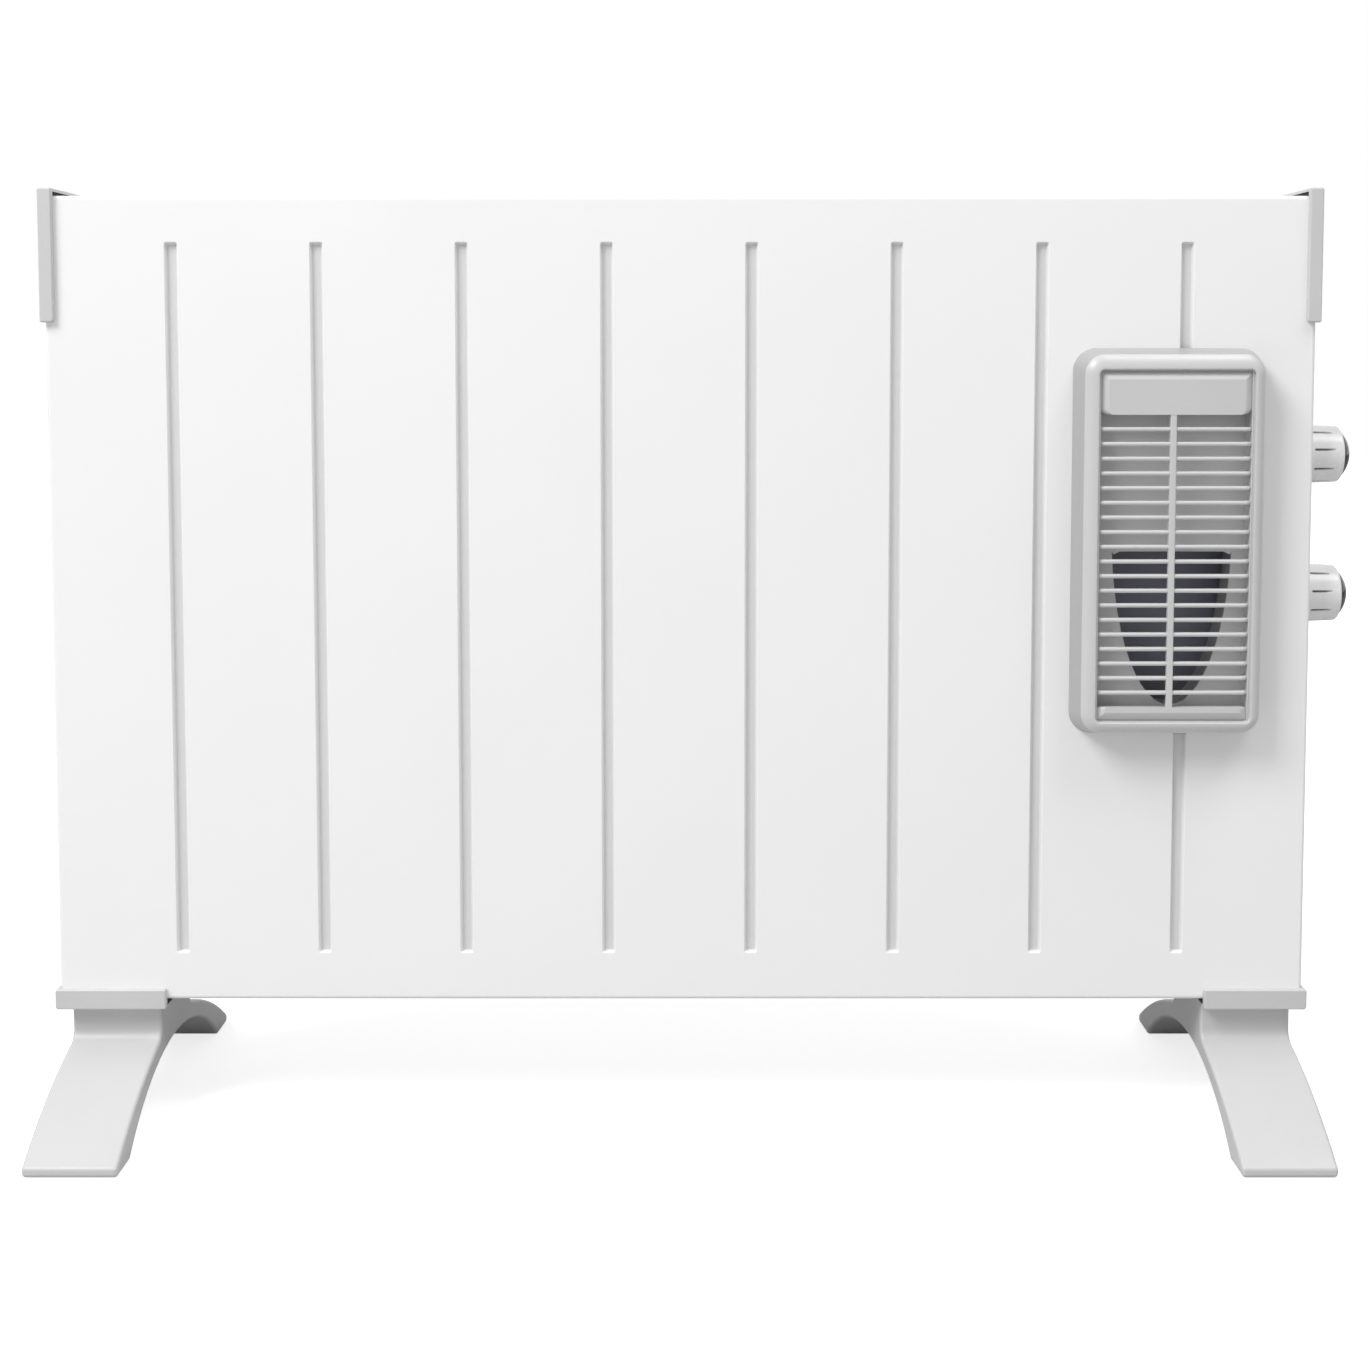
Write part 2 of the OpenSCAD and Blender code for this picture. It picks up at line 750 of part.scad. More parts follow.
module handle_clip_left() {
    color("#cfcfcf") mirror([1, 0, 0]) handle_clip();
}

module handle_clip_right() {
    color("#cfcfcf") handle_clip();
}

module clip_packing() {
    pack_w = clip_lip_w - pack_margin;
    translate([half_w - pack_w, -case_d / 2, case_top]) cube([pack_w, case_d, clip_pack_t]);
}

module clip_packing_left() {
    color("#1a1a1a") mirror([1, 0, 0]) clip_packing();
}

module clip_packing_right() {
    color("#1a1a1a") clip_packing();
}

// Feet

// Upper side of the leg, from the neck down to the tip, as [y, z]
function leg_points() =
    let (
        run = neck_y,
        rise = neck_z - tip_h,
        chord = sqrt(run * run + rise * rise),
        r = (chord * chord / 4 + leg_bow * leg_bow) / (2 * leg_bow),
        lean = atan2(rise, run),
        half = asin(chord / 2 / r),
        cy = (neck_half_y + tip_y) / 2 - (r - leg_bow) * sin(lean),
        cz = (neck_z + tip_h) / 2 - (r - leg_bow) * cos(lean)
    )
    arc(cy, cz, r, 90 - lean + half, 90 - lean - half, 10);

module foot_profile() {
    upper = leg_points();
    front = concat([[0, 0], [0, foot_plate_z + eps], [neck_half_y, foot_plate_z + eps]], upper, [[tip_y, 0]]);
    difference() {
        union() {
            polygon(front);
            mirror([1, 0]) polygon(front);
        }
        translate([0, arch_h - arch_r]) circle(arch_r, $fn = 96);
    }
}

module foot_screw_spots() {
    for (s = [-1, 1]) translate([leg_mid_x, s * foot_screw_gap / 2, 0]) children();
}

module foot(plate_w) {
    plate_y = case_d / 2 + foot_lip_t;
    plate_out_x = half_w + foot_wall_t;
    plate_in_x = plate_out_x - plate_w;
    lip_top_z = case_z + foot_lip_h;
    difference() {
        union() {
            sheet_yz(leg_out_x - leg_w, leg_w) foot_profile();
            translate([plate_in_x, -plate_y, foot_plate_z]) cube([plate_out_x - plate_in_x, 2 * plate_y, foot_plate_t]);
            both_faces() translate([plate_in_x, -plate_y, foot_plate_z])
                cube([plate_out_x - plate_in_x, foot_lip_t, lip_top_z - foot_plate_z]);
            translate([half_w, -plate_y, foot_plate_z]) cube([foot_wall_t, 2 * plate_y, lip_top_z - foot_plate_z]);
        }
        foot_screw_spots() {
            translate([0, 0, -1]) cylinder(h = foot_head_z + 1, r = foot_head_r + screw_gap);
            cylinder(h = case_top, r = foot_screw_r + screw_gap);
        }
    }
}

module foot_left() {
    color("#dedede") mirror([1, 0, 0]) foot(left_plate_w);
}

module foot_right() {
    color("#dedede") foot(right_plate_w);
}

module foot_packing(plate_w) {
    pack_w = plate_w - foot_wall_t - pack_margin;
    difference() {
        translate([half_w - pack_w, -case_d / 2, foot_plate_z + foot_plate_t]) cube([pack_w, case_d, foot_pack_t]);
        foot_screw_spots() cylinder(h = case_top, r = foot_screw_r + screw_gap);
    }
}

module foot_packing_left() {
    color("#1a1a1a") mirror([1, 0, 0]) foot_packing(left_plate_w);
}

module foot_packing_right() {
    color("#1a1a1a") foot_packing(right_plate_w);
}

// Fan housing

module frame_screw_spots() {
    for (sx = [-1, 1], sz = [-1, 1]) {
        translate([fan_x + sx * frame_screw_x, 0, window_z + sz * frame_screw_z]) children();
    }
}

// Quarter of a disc, for the rounding of the frame's front edge, a little deeper than its straight sides
module frame_quarter() {
    lap = frame_round / 16;
    intersection() {
        circle(frame_round, $fn = 64);
        translate([-lap, -lap]) square(frame_round + 1);
    }
}

module frame_corner() {
    rotate([90, 0, 0]) rotate_extrude($fn = 64) {
        square([frame_r, frame_proud - frame_round]);
        square([frame_r - frame_round, frame_proud]);
        translate([frame_r - frame_round, frame_proud - frame_round]) frame_quarter();
    }
}

module frame_block() {
    straight_w = frame_w - 2 * frame_r;
    straight_h = frame_h - 2 * frame_r;
    round_y = frame_front_y + frame_round;
    translate([fan_x, 0, frame_z]) {
        sheet_xz(frame_front_y + frame_round, frame_proud - frame_round) {
            square([straight_w, frame_h], center = true);
            square([frame_w, straight_h], center = true);
        }
        sheet_xz(frame_front_y, frame_proud) {
            square([straight_w, frame_h - 2 * frame_round], center = true);
            square([frame_w - 2 * frame_round, straight_h], center = true);
        }
        for (sx = [-1, 1], sz = [-1, 1]) {
            translate([sx * straight_w / 2, front_y, sz * straight_h / 2]) frame_corner();
        }
        for (m = [0, 1]) {
            mirror([0, 0, m]) translate([-straight_w / 2, round_y, frame_h / 2 - frame_round])
                rotate([90, 0, 90]) linear_extrude(straight_w) mirror([1, 0]) frame_quarter();
            mirror([m, 0, 0]) translate([frame_w / 2 - frame_round, round_y, -straight_h / 2])
                linear_extrude(straight_h) mirror([0, 1]) frame_quarter();
        }
    }
}

module fan_frame() {
    color("#d4d4d4") difference() {
        frame_block();
        translate([fan_x, 0, window_z]) sheet_xz(frame_front_y - 1, frame_proud + 2)
            rounded(window_w, window_h, window_r);
        translate([fan_x, 0, window_z]) sheet_xz(wall_y - fit_gap, frame_proud)
            rounded(cutout_w, cutout_h, window_r + cutout_rim);
        frame_screw_spots() rod_y(front_y - blower_screw_l + sheet_t + 1, front_y + 1, screw_r + run_gap);
    }
}

// Bevelled block of the grille: w by h, with its sloping edges at the top and the sides
module bevel_block(w, h, d) {
    hull() {
        translate([0, d - 1.2, 0]) sheet_xz(0, 1.2) rounded(w, h, 1.5, $fn = 16);
        translate([0, 0, -bevel / 4]) sheet_xz(0, d) rounded(w - bevel, h - bevel, 1.5, $fn = 16);
    }
}

module fan_grille() {
    rail_y = grille_front_y + grille_d - rail_t;
    slat_y = grille_front_y + 0.6;
    side_x = grille_w / 2;
    low_z = window_z - grille_h / 2;
    color("#d8d8d8") {
        translate([fan_x, grille_front_y, pad_low_z + pad_h / 2]) bevel_block(grille_w, pad_h, bevel);
        translate([fan_x, grille_front_y, low_z + wedge_h / 2]) mirror([0, 0, 1])
            bevel_block(grille_w, wedge_h, bevel);
        for (i = [0:slat_n - 1]) {
            translate([fan_x - side_x, slat_y, slat_top_z - i * slat_pitch - slat_t / 2])
                cube([grille_w, slat_d, slat_t]);
        }
        for (s = [-1, 1]) {
            translate([fan_x + s * (side_x - rail_t / 2) - rail_t / 2, slat_y + slat_d / 2, low_z + 1])
                cube([rail_t, rail_y + rail_t - slat_y - slat_d / 2, grille_h - 2]);
        }
        for (sx = [-1, 1], z = [low_z + 1, window_z - post_t / 2, low_z + grille_h - 1 - post_t]) {
            translate([fan_x + sx * (side_x - post_t / 2) - post_t / 2, rail_y + rail_t / 2, z])
                cube([post_t, wall_y - rail_y - rail_t / 2, post_t]);
        }
        translate([fan_x + bar_shift - bar_w / 2, grille_front_y, wedge_top_z - 1])
            cube([bar_w, slat_d + 0.6, pad_low_z - wedge_top_z + 2]);
    }
}

// Blower

// Outline of the outlet, widened by grow
module outlet_shape(grow) {
    cz = outlet_low_z + outlet_ellipse;
    reach = outlet_h / outlet_ellipse;
    stretch = 1 / sqrt(1 - (1 - reach) * (1 - reach));
    a1 = asin(1 - reach);
    half = outlet_w / 2 * stretch + grow;
    sides = [for (i = [0:24]) let (a = -180 + a1 + (180 - 2 * a1) * i / 24)
        [half * cos(a), min(cz + (outlet_ellipse + grow) * sin(a), outlet_top_z + grow)]];
    top_in = 4;
    polygon(concat(
        sides,
        [[half - 1, outlet_top_z + grow - 1.5], [half - top_in, outlet_top_z + grow]],
        [[top_in - half, outlet_top_z + grow], [1 - half, outlet_top_z + grow - 1.5]]
    ));
}

module blower_corner_spots() {
    for (sx = [-1, 1], sz = [-1, 1]) {
        translate([fan_x + sx * corner_boss_x, 0, window_z + sz * corner_boss_z]) children();
    }
}

module blower_casing() {
    ear_y = front_y + sheet_t;
    color("#a2a2a2") difference() {
        union() {
            difference() {
                translate([fan_x, 0, window_z]) sheet_xz(wall_y, blower_d) rounded(blower_w, blower_h, blower_r);
                translate([fan_x, 0, window_z]) sheet_xz(wall_y + blower_t, blower_d)
                    rounded(blower_w - 2 * blower_t, blower_h - 2 * blower_t, blower_r - blower_t);
            }
            translate([fan_x + outlet_shift, 0, 0]) sheet_xz(wall_y + eps, duct_d) outlet_shape(blower_t);
            difference() {
                translate([fan_x, 0, axis_z]) rod_y(wall_y + eps, blower_back_y, scroll_r + blower_t);
                translate([fan_x, 0, axis_z]) rod_y(wall_y - 1, blower_back_y + 1, scroll_r);
                translate([fan_x - blower_w / 2, wall_y - 1, axis_z - 2 * scroll_r])
                    cube([blower_w, blower_d + 2, 2 * scroll_r]);
            }
            blower_corner_spots() rod_y(wall_y + eps, blower_back_y, corner_boss_r);
            for (sx = [-1, 1], sz = [-1, 1]) {
                translate([
                    fan_x + sx * (frame_screw_x + ear_w / 2 + blower_w / 2 - 1) / 2,
                    ear_y + ear_t / 2,
                    window_z + sz * frame_screw_z
                ]) cube([frame_screw_x + ear_w / 2 - blower_w / 2 + 1, ear_t, ear_w], center = true);
            }
        }
        translate([fan_x + outlet_shift, 0, 0]) sheet_xz(wall_y - 1, duct_d + 2) outlet_shape(0);
        frame_screw_spots() rod_y(front_y, front_y + 2 * ear_t, screw_r + screw_gap);
        blower_corner_spots() rod_y(blower_back_y - 8, blower_back_y + 1, corner_screw_r + run_gap);
    }
}

module blower_backplate() {
    color("#9a9a9a") difference() {
        translate([fan_x, 0, window_z]) sheet_xz(blower_back_y, blower_t) rounded(blower_w, blower_h, blower_r);
        translate([fan_x, 0, axis_z]) rod_y(blower_back_y - 1, plate_back_y + 1, inlet_r);
        blower_corner_spots() rod_y(blower_back_y - 1, plate_back_y + 1, corner_screw_r + screw_gap);
        bracket_screw_spots() rod_y(blower_back_y - 1, plate_back_y + 1, motor_screw_r + screw_gap);
    }
}

module impeller() {
    color("#3a3a3e") translate([fan_x, 0, axis_z]) difference() {
        union() {
            rod_y(impeller_front_y, impeller_front_y + blade_t, impeller_r);
            rod_y(impeller_front_y, impeller_front_y + impeller_l / 2, shaft_r + 3);
            difference() {
                rod_y(impeller_back_y - blade_t, impeller_back_y, impeller_r);
                rod_y(impeller_back_y - blade_t - 1, impeller_back_y + 1, blade_in_r);
            }
            for (i = [0:blade_n - 1]) {
                rotate([0, 360 * i / blade_n, 0])
                    translate([blade_in_r + 0.3, impeller_front_y + eps, -blade_t / 2])
                    cube([impeller_r - blade_in_r - 1, impeller_l - 2 * eps, blade_t]);
            }
        }
        rod_y(shaft_front_y - 0.5, impeller_back_y + 1, shaft_r + run_gap);
    }
}

module fan_shaft() {
    color("#b9bcc0") translate([fan_x, 0, axis_z]) rod_y(shaft_front_y, shaft_rear_y, shaft_r);
}

module motor_rotor() {
    color("#9b9ea3") translate([fan_x, 0, axis_z]) difference() {
        rod_y(stator_y - 0.5, stator_y + stack_t + 0.5, rotor_r);
        rod_y(stator_y - 2, stator_y + stack_t + 2, shaft_r + run_gap);
    }
}

module post_spots() {
    for (s = [-1, 1]) translate([fan_x, 0, axis_z + s * post_z]) children();
}

module bracket_screw_spots() {
    for (s = [-1, 1]) translate([fan_x, 0, axis_z + s * bracket_screw_z]) children();
}

module motor_stator() {
    color("#85888d") difference() {
        translate([fan_x - stator_near, stator_y, axis_z - stator_h / 2])
            cube([stator_near + stator_far, stack_t, stator_h]);
        translate([fan_x, 0, axis_z]) rod_y(stator_y - 1, stator_y + stack_t + 1, rotor_r + air_gap);
        translate([fan_x + limb_in, stator_y - 1, axis_z - coil_h / 2 - 0.5])
            cube([coil_t + fit_gap, stack_t + 2, coil_h + 1]);
        post_spots() rod_y(stator_y - 1, stator_y + stack_t + 1, motor_screw_r + screw_gap);
    }
}

module motor_coil() {
    in_x = fan_x + limb_in + coil_t;
    out_x = fan_x + stator_far + fit_gap;
    color("#b5763a") difference() {
        translate([in_x - coil_t + fit_gap, stator_y - coil_t, axis_z - coil_h / 2])
            cube([out_x - in_x + 2 * coil_t - fit_gap, stack_t + 2 * coil_t, coil_h]);
        translate([in_x, stator_y - fit_gap, axis_z - coil_h])
            cube([out_x - in_x, stack_t + 2 * fit_gap, 2 * coil_h]);
    }
}

module motor_bracket_bar(reach) {
    translate([-bracket_w / 2, 0, -reach]) cube([bracket_w, bracket_t, 2 * reach]);
    translate([0, bracket_t / 2 - bush_l / 2 + 0.5, 0]) rod_y(0, bush_l - 1, bush_r + 2);
}

module motor_front_bracket() {
    color("#c4c7ca") difference() {
        union() {
            translate([fan_x, plate_back_y, axis_z]) motor_bracket_bar(bracket_screw_z + motor_head_r + 1);
            post_spots() rod_y(plate_back_y + eps, stator_y, post_r);
        }
        translate([fan_x, 0, axis_z]) rod_y(blower_back_y - 4, stator_y, bush_r + run_gap);
        post_spots() rod_y(plate_back_y - 1, stator_y + 1, motor_screw_r + screw_gap);
        bracket_screw_spots() rod_y(plate_back_y - 1, stator_y + 1, motor_screw_r + screw_gap);
    }
}

module motor_rear_bracket() {
    color("#c4c7ca") difference() {
        union() {
            translate([fan_x, rear_bracket_y, axis_z]) motor_bracket_bar(post_z + 5);
            post_spots() rod_y(stator_y + stack_t, rear_bracket_y + eps, post_r);
        }
        translate([fan_x, 0, axis_z]) rod_y(stator_y + stack_t, rear_bracket_y + 6, bush_r + run_gap);
        post_spots() rod_y(stator_y, rear_bracket_y + 6, motor_screw_r + screw_gap);
    }
}

module motor_bushes() {
    color("#a98a52") for (y = [plate_back_y, rear_bracket_y]) {
        translate([fan_x, y + bracket_t / 2 - bush_l / 2, axis_z]) difference() {
            rod_y(0, bush_l, bush_r);
            rod_y(-1, bush_l + 1, shaft_r + run_gap);
        }
    }
}

// Controls

module knob_spots() {
    for (z = [lower_knob_z, upper_knob_z]) translate([0, 0, z]) children();
}

module plate_screw_spots() {
    for (z = [case_z + control_low + plate_screw_inset, control_high_z - plate_screw_inset]) {
        translate([0, 0, z]) children();
    }
}

// Knob along X with its base at zero
module knob(phase) {
    lead = arc(rim_r - knob_round, knob_l - knob_round, knob_round, 0, 90, 6);
    difference() {
        rotate([0, 90, 0]) rotate_extrude() polygon(concat([[0, 0], [knob_r, 0]], lead, [[0, knob_l]]));
        difference() {
            rod_x(-1, knob_l - cap_seat - knob_wall, knob_r - knob_wall);
            rod_x(cavity_l, knob_l, spindle_r + knob_wall);
        }
        rod_x(cavity_l - 1, cavity_l + knob_bore_l, spindle_r + run_gap);
        rod_x(knob_l - cap_seat, knob_l + 1, cap_r + run_gap);
        for (i = [0:grip_n - 1]) {
            rotate([phase + 360 * i / grip_n, 0, 0]) translate([0, -knob_r + knob_taper / 4, 0])
                rod_x(grip_start, grip_start + grip_l, grip_r, $fn = 16);
        }
    }
}

module knob_cap() {
    sphere_r = (cap_r * cap_r + dome_h * dome_h) / (2 * dome_h);
    translate([knob_l - cap_seat, 0, 0]) rotate([0, 90, 0]) rotate_extrude() intersection() {
        translate([0, cap_seat + dome_h - sphere_r]) circle(sphere_r, $fn = 96);
        square([cap_r, cap_seat + dome_h]);
    }
}

module control_body() {
    in_l = side_in_x - control_in_x;
    difference() {
        union() {
            translate([control_in_x, -control_w / 2, -control_w / 2]) cube([in_l, control_w, control_w]);
            rod_x(side_in_x - 1, neck_end_x, neck_r);
        }
        rod_x(control_in_x + 3, neck_end_x + 1, spindle_r + run_gap);
    }
}

module spindle() {
    rod_x(control_in_x + 4, knob_x + cavity_l + knob_bore_l - 0.3, spindle_r);
}

module thermostat_knob() {
    color("#efefef") translate([knob_x, 0, upper_knob_z]) knob(-upper_phase);
}

module thermostat_cap() {
    color("#26272b") translate([knob_x, 0, upper_knob_z]) knob_cap();
}

module thermostat_spindle() {
    color("#b9bcc0") translate([0, 0, upper_knob_z]) spindle();
}

module thermostat_body() {
    color("#8d8f93") translate([0, 0, upper_knob_z]) control_body();
}

module power_knob() {
    color("#efefef") translate([knob_x, 0, lower_knob_z]) knob(-lower_phase);
}

module power_cap() {
    color("#26272b") translate([knob_x, 0, lower_knob_z]) knob_cap();
}

module power_spindle() {
    color("#b9bcc0") translate([0, 0, lower_knob_z]) spindle();
}

module power_switch_body() {
    color("#2c2c30") translate([0, 0, lower_knob_z]) control_body();
}

module control_nuts() {
    color("#c9a44a") knob_spots() difference() {
        rod_x(control_face_x, control_face_x + nut_t, neck_r + 3, $fn = 6);
        rod_x(control_face_x - 1, control_face_x + nut_t + 1, neck_r + run_gap);
    }
}

// Heating

// Fins lie on the diagonals, each with short cross ribs
module element_shape() {
    circle(core_r);
    for (a = [45:90:315]) {
        rotate(a) {
            translate([0, -fin_t / 2]) square([fin_reach * sqrt(2) - fin_t, fin_t]);
            translate([fin_reach - fin_t / 2, -fin_t * 1.5]) square([fin_t, fin_t * 3]);
        }
    }
}

module heating_element(y) {
    translate([0, y, element_z]) sheet_yz(element_left_x, element_right_x - element_left_x) element_shape();
}

module heating_element_front() {
    color("#aeb1b5") heating_element(-element_y);
}

module heating_element_rear() {
    color("#aeb1b5") heating_element(element_y);
}

module insulator() {
    rod_x(0, insulator_t, insulator_r);
    rod_x(insulator_t - eps, insulator_t + insulator_neck, bracket_hole_r - run_gap);
    rod_x(insulator_t + insulator_neck - eps, insulator_t + insulator_neck + pin_l, pin_r);
}

module element_insulators() {
    color("#efe9dc") for (s = [-1, 1]) {
        translate([element_right_x, s * element_y, element_z]) insulator();
        translate([element_left_x, s * element_y, element_z]) mirror([1, 0, 0]) insulator();
    }
}

module element_bracket(x) {
    half_y = element_y + insulator_r + 1;
    difference() {
        union() {
            translate([x, -half_y, floor_in_z]) cube([sheet_t, 2 * half_y, bracket_top_z - floor_in_z]);
            translate([x, -half_y, floor_in_z]) cube([tab_w, 2 * half_y, sheet_t]);
        }
        for (s = [-1, 1]) translate([0, s * element_y, element_z]) rod_x(x - 1, x + 2 * sheet_t, bracket_hole_r);
    }
}

module element_bracket_left() {
    color("#c9cccf") element_bracket(element_left_x - insulator_t - sheet_t);
}

module element_bracket_right() {
    color("#c9cccf") element_bracket(element_right_x + insulator_t);
}

module heat_reflector() {
    left_x = -side_in_x + fit_gap;
    right_x = partition_x - fit_gap;
    low_z = case_z + reflector_low;
    y = front_y + reflector_y;
    color("#d5d8db") {
        translate([left_x, y, low_z]) cube([right_x - left_x, sheet_t / 2, reflector_h]);
        for (x = [left_x, right_x - sheet_t]) {
            translate([x, y, low_z]) cube([sheet_t, 4, reflector_h]);
        }
    }
}

// Electrics

module thermal_cutout() {
    x0 = partition_x - cutout_disc_t;
    color("#3a3a3a") translate([0, element_y, disc_z]) {
        rod_x(x0, partition_x, cutout_disc_r);
    }
}

module terminal_block() {
    color("#e6e2d6") difference() {
        translate([block_x, -block_w / 2, floor_in_z]) cube([block_l, block_w, block_h]);
        for (i = [-1, 0, 1]) {
            translate([block_x + block_l / 2 + i * block_l / 4, 0, floor_in_z + block_h / 2])
                cylinder(h = block_h, r = block_l / 12);
        }
    }
}

module cable_gland() {
    y_in = rear_y - sheet_t - gland_in_l;
    color("#2a2a2a") translate([gland_x, 0, gland_z]) difference() {
        union() {
            rod_y(rear_y, rear_y + gland_flange_t, gland_flange_r);
            rod_y(y_in, rear_y + eps, gland_neck_r);
        }
        rod_y(y_in - 1, rear_y + gland_flange_t + 1, gland_bore_r);
    }
}

module gland_nut() {
    y0 = rear_y - sheet_t - gland_nut_t;
    color("#2a2a2a") translate([gland_x, 0, gland_z]) difference() {
        rod_y(y0, y0 + gland_nut_t, gland_flange_r, $fn = 6);
        rod_y(y0 - 1, y0 + gland_nut_t + 1, gland_neck_r + run_gap);
    }
}

// Quarter bend about the origin that joins a run along X to a run along Z
module wire_elbow() {
    rotate([90, 0, 0]) rotate_extrude(angle = 90) translate([wire_bend, 0]) circle(wire_r, $fn = 24);
}

module wire_up(x, y, z0, z1) {
    translate([x, y, z0]) cylinder(h = z1 - z0, r = wire_r, $fn = 24);
}

module wire_run(x0, x1, y, z) {
    translate([0, y, z]) rod_x(x0, x1, wire_r, $fn = 24);
}

module wiring() {
    pin_right_x = element_right_x + insulator_t + insulator_neck + pin_l;
    pin_left_x = element_left_x - insulator_t - insulator_neck - pin_l;
    switch_low_z = lower_knob_z - control_w / 2;
    switch_wire_z = switch_low_z + 4;
    feed_z = floor_in_z + block_h - 2 * wire_r;
    up_x = wire_turn_x + wire_bend;
    color("#b8402f") {
        wire_run(pin_right_x, wire_turn_x, element_y, element_z);
        translate([wire_turn_x, element_y, element_z + wire_bend]) rotate([0, 90, 0]) wire_elbow();
        wire_up(up_x, element_y, element_z + wire_bend, switch_wire_z - wire_bend);
        translate([up_x + wire_bend, element_y, switch_wire_z - wire_bend]) rotate([0, -90, 0]) wire_elbow();
        wire_run(up_x + wire_bend, control_in_x, element_y, switch_wire_z);
    }
    color("#b8402f") {
        wire_run(pin_right_x, riser_x - wire_bend, -element_y, element_z);
        translate([riser_x - wire_bend, -element_y, element_z + wire_bend]) rotate([0, 90, 0]) wire_elbow();
        wire_up(riser_x, -element_y, element_z + wire_bend, switch_low_z);
    }
    color("#3b6ea5") {
        wire_run(block_x + block_l, feed_x - wire_bend, 0, feed_z);
        translate([feed_x - wire_bend, 0, feed_z + wire_bend]) rotate([0, 90, 0]) wire_elbow();
        wire_up(feed_x, 0, feed_z + wire_bend, switch_low_z);
    }
    color("#3b6ea5") wire_up(feed_x, 0, lower_knob_z + control_w / 2, upper_knob_z - control_w / 2);
    color("#3b6ea5") {
        wire_run(fan_x + stator_far + fit_gap + coil_t, control_in_x, stator_y + stack_t / 2, axis_z + coil_h / 2 - 2);
    }
    color("#3b6ea5") {
        translate([pin_left_x - link_t, -element_y - 2, element_z - 3]) cube([link_t, 2 * element_y + 4, 6]);
        translate([pin_left_x - link_t, element_y, element_z + wire_bend]) rotate([0, 180, 0]) wire_elbow();
        wire_up(pin_left_x - link_t - wire_bend, element_y, element_z + wire_bend, disc_z - wire_bend);
        translate([pin_left_x - link_t, element_y, disc_z - wire_bend]) rotate([0, -90, 0]) wire_elbow();
        wire_run(pin_left_x - link_t, partition_x - cutout_disc_t, element_y, disc_z);
    }
}

// Fasteners

module rear_screw_spots() {
    column_x = side_in_x - tab_w / 2;
    high_z = clip_low_z - rear_screw_high;
    low_z = case_z + rear_screw_low;
    for (x = [-column_x, column_x], i = [0:2]) {
        translate([x, 0, low_z + i * (high_z - low_z) / 2]) children();
    }
    for (z = [case_z + partition_screw_low, case_top - partition_screw_high]) translate([partition_x - tab_w / 2, 0, z]) children();
}

module rear_screws() {
    color("#9fa2a6") rear_screw_spots() translate([0, rear_y, 0]) rotate([-90, 0, 0])
        screw(screw_head_r, screw_head_h, screw_r, screw_l);
}

module control_plate_screws() {
    color("#9fa2a6") plate_screw_spots() translate([control_face_x, 0, 0]) rotate([0, 90, 0])
        screw(screw_head_r, screw_head_h, screw_r, screw_l);
}

module foot_screws() {
    shank = floor_in_z + foot_nut_t + foot_screw_out - foot_head_z;
    color("#9fa2a6") both_sides() foot_screw_spots() translate([0, 0, foot_head_z]) rotate([180, 0, 0])
        screw(foot_head_r, foot_head_h, foot_screw_r, shank);
}

module foot_nuts() {
    color("#9fa2a6") both_sides() foot_screw_spots() translate([0, 0, floor_in_z]) difference() {
        cylinder(h = foot_nut_t, r = foot_head_r, $fn = 6);
        translate([0, 0, -1]) cylinder(h = foot_nut_t + 2, r = foot_screw_r + run_gap);
    }
}

module blower_screws() {
    color("#9fa2a6") {
        frame_screw_spots() translate([0, front_y + sheet_t + ear_t, 0]) rotate([-90, 0, 0])
            screw(screw_head_r, screw_head_h, screw_r, blower_screw_l);
        blower_corner_spots() translate([0, plate_back_y, 0]) rotate([-90, 0, 0])
            screw(corner_screw_r + 1.2, 1.4, corner_screw_r, 8);
    }
}

module motor_screws() {
    through_l = rear_bracket_y + bracket_t - plate_back_y - bracket_t;
    color("#9fa2a6") {
        post_spots() translate([0, rear_bracket_y + bracket_t, 0]) rotate([-90, 0, 0])
            screw(motor_head_r, 1.5, motor_screw_r, through_l);
        bracket_screw_spots() translate([0, plate_back_y + bracket_t, 0]) rotate([-90, 0, 0])
            screw(motor_head_r, 1.5, motor_screw_r, bracket_t + blower_t);
    }
}

in_frame() front_panel();
in_frame() rear_panel();
in_frame() top_grille();
in_frame() bottom_grille();
in_frame() side_panel_left();
in_frame() side_panel_right();
in_frame() control_plate();
in_frame() handle_clip_left();
in_frame() handle_clip_right();
in_frame() clip_packing_left();
in_frame() clip_packing_right();
in_frame() foot_left();
in_frame() foot_right();
in_frame() foot_packing_left();
in_frame() foot_packing_right();
in_frame() fan_frame();
in_frame() fan_grille();
in_frame() blower_casing();
in_frame() blower_backplate();
in_frame() impeller();
in_frame() fan_shaft();
in_frame() motor_rotor();
in_frame() motor_stator();
in_frame() motor_coil();
in_frame() motor_front_bracket();
in_frame() motor_rear_bracket();
in_frame() motor_bushes();
in_frame() thermostat_knob();
in_frame() thermostat_cap();
in_frame() thermostat_spindle();
in_frame() thermostat_body();
in_frame() power_knob();
in_frame() power_cap();
in_frame() power_spindle();
in_frame() power_switch_body();
in_frame() control_nuts();
in_frame() heating_element_front();
in_frame() heating_element_rear();
in_frame() element_insulators();
in_frame() element_bracket_left();
in_frame() element_bracket_right();
in_frame() heat_reflector();
in_frame() partition_plate();
in_frame() thermal_cutout();
in_frame() terminal_block();
in_frame() cable_gland();
in_frame() gland_nut();
in_frame() wiring();
in_frame() rear_screws();
in_frame() control_plate_screws();
in_frame() foot_screws();
in_frame() foot_nuts();
in_frame() blower_screws();
in_frame() motor_screws();
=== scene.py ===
"""Free-standing convector heater with a blower: the looks of every piece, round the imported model."""
import json
import math

import bmesh
import bpy
from bpy.props import FloatProperty, FloatVectorProperty, IntProperty, PointerProperty
from mathutils import Matrix, Vector


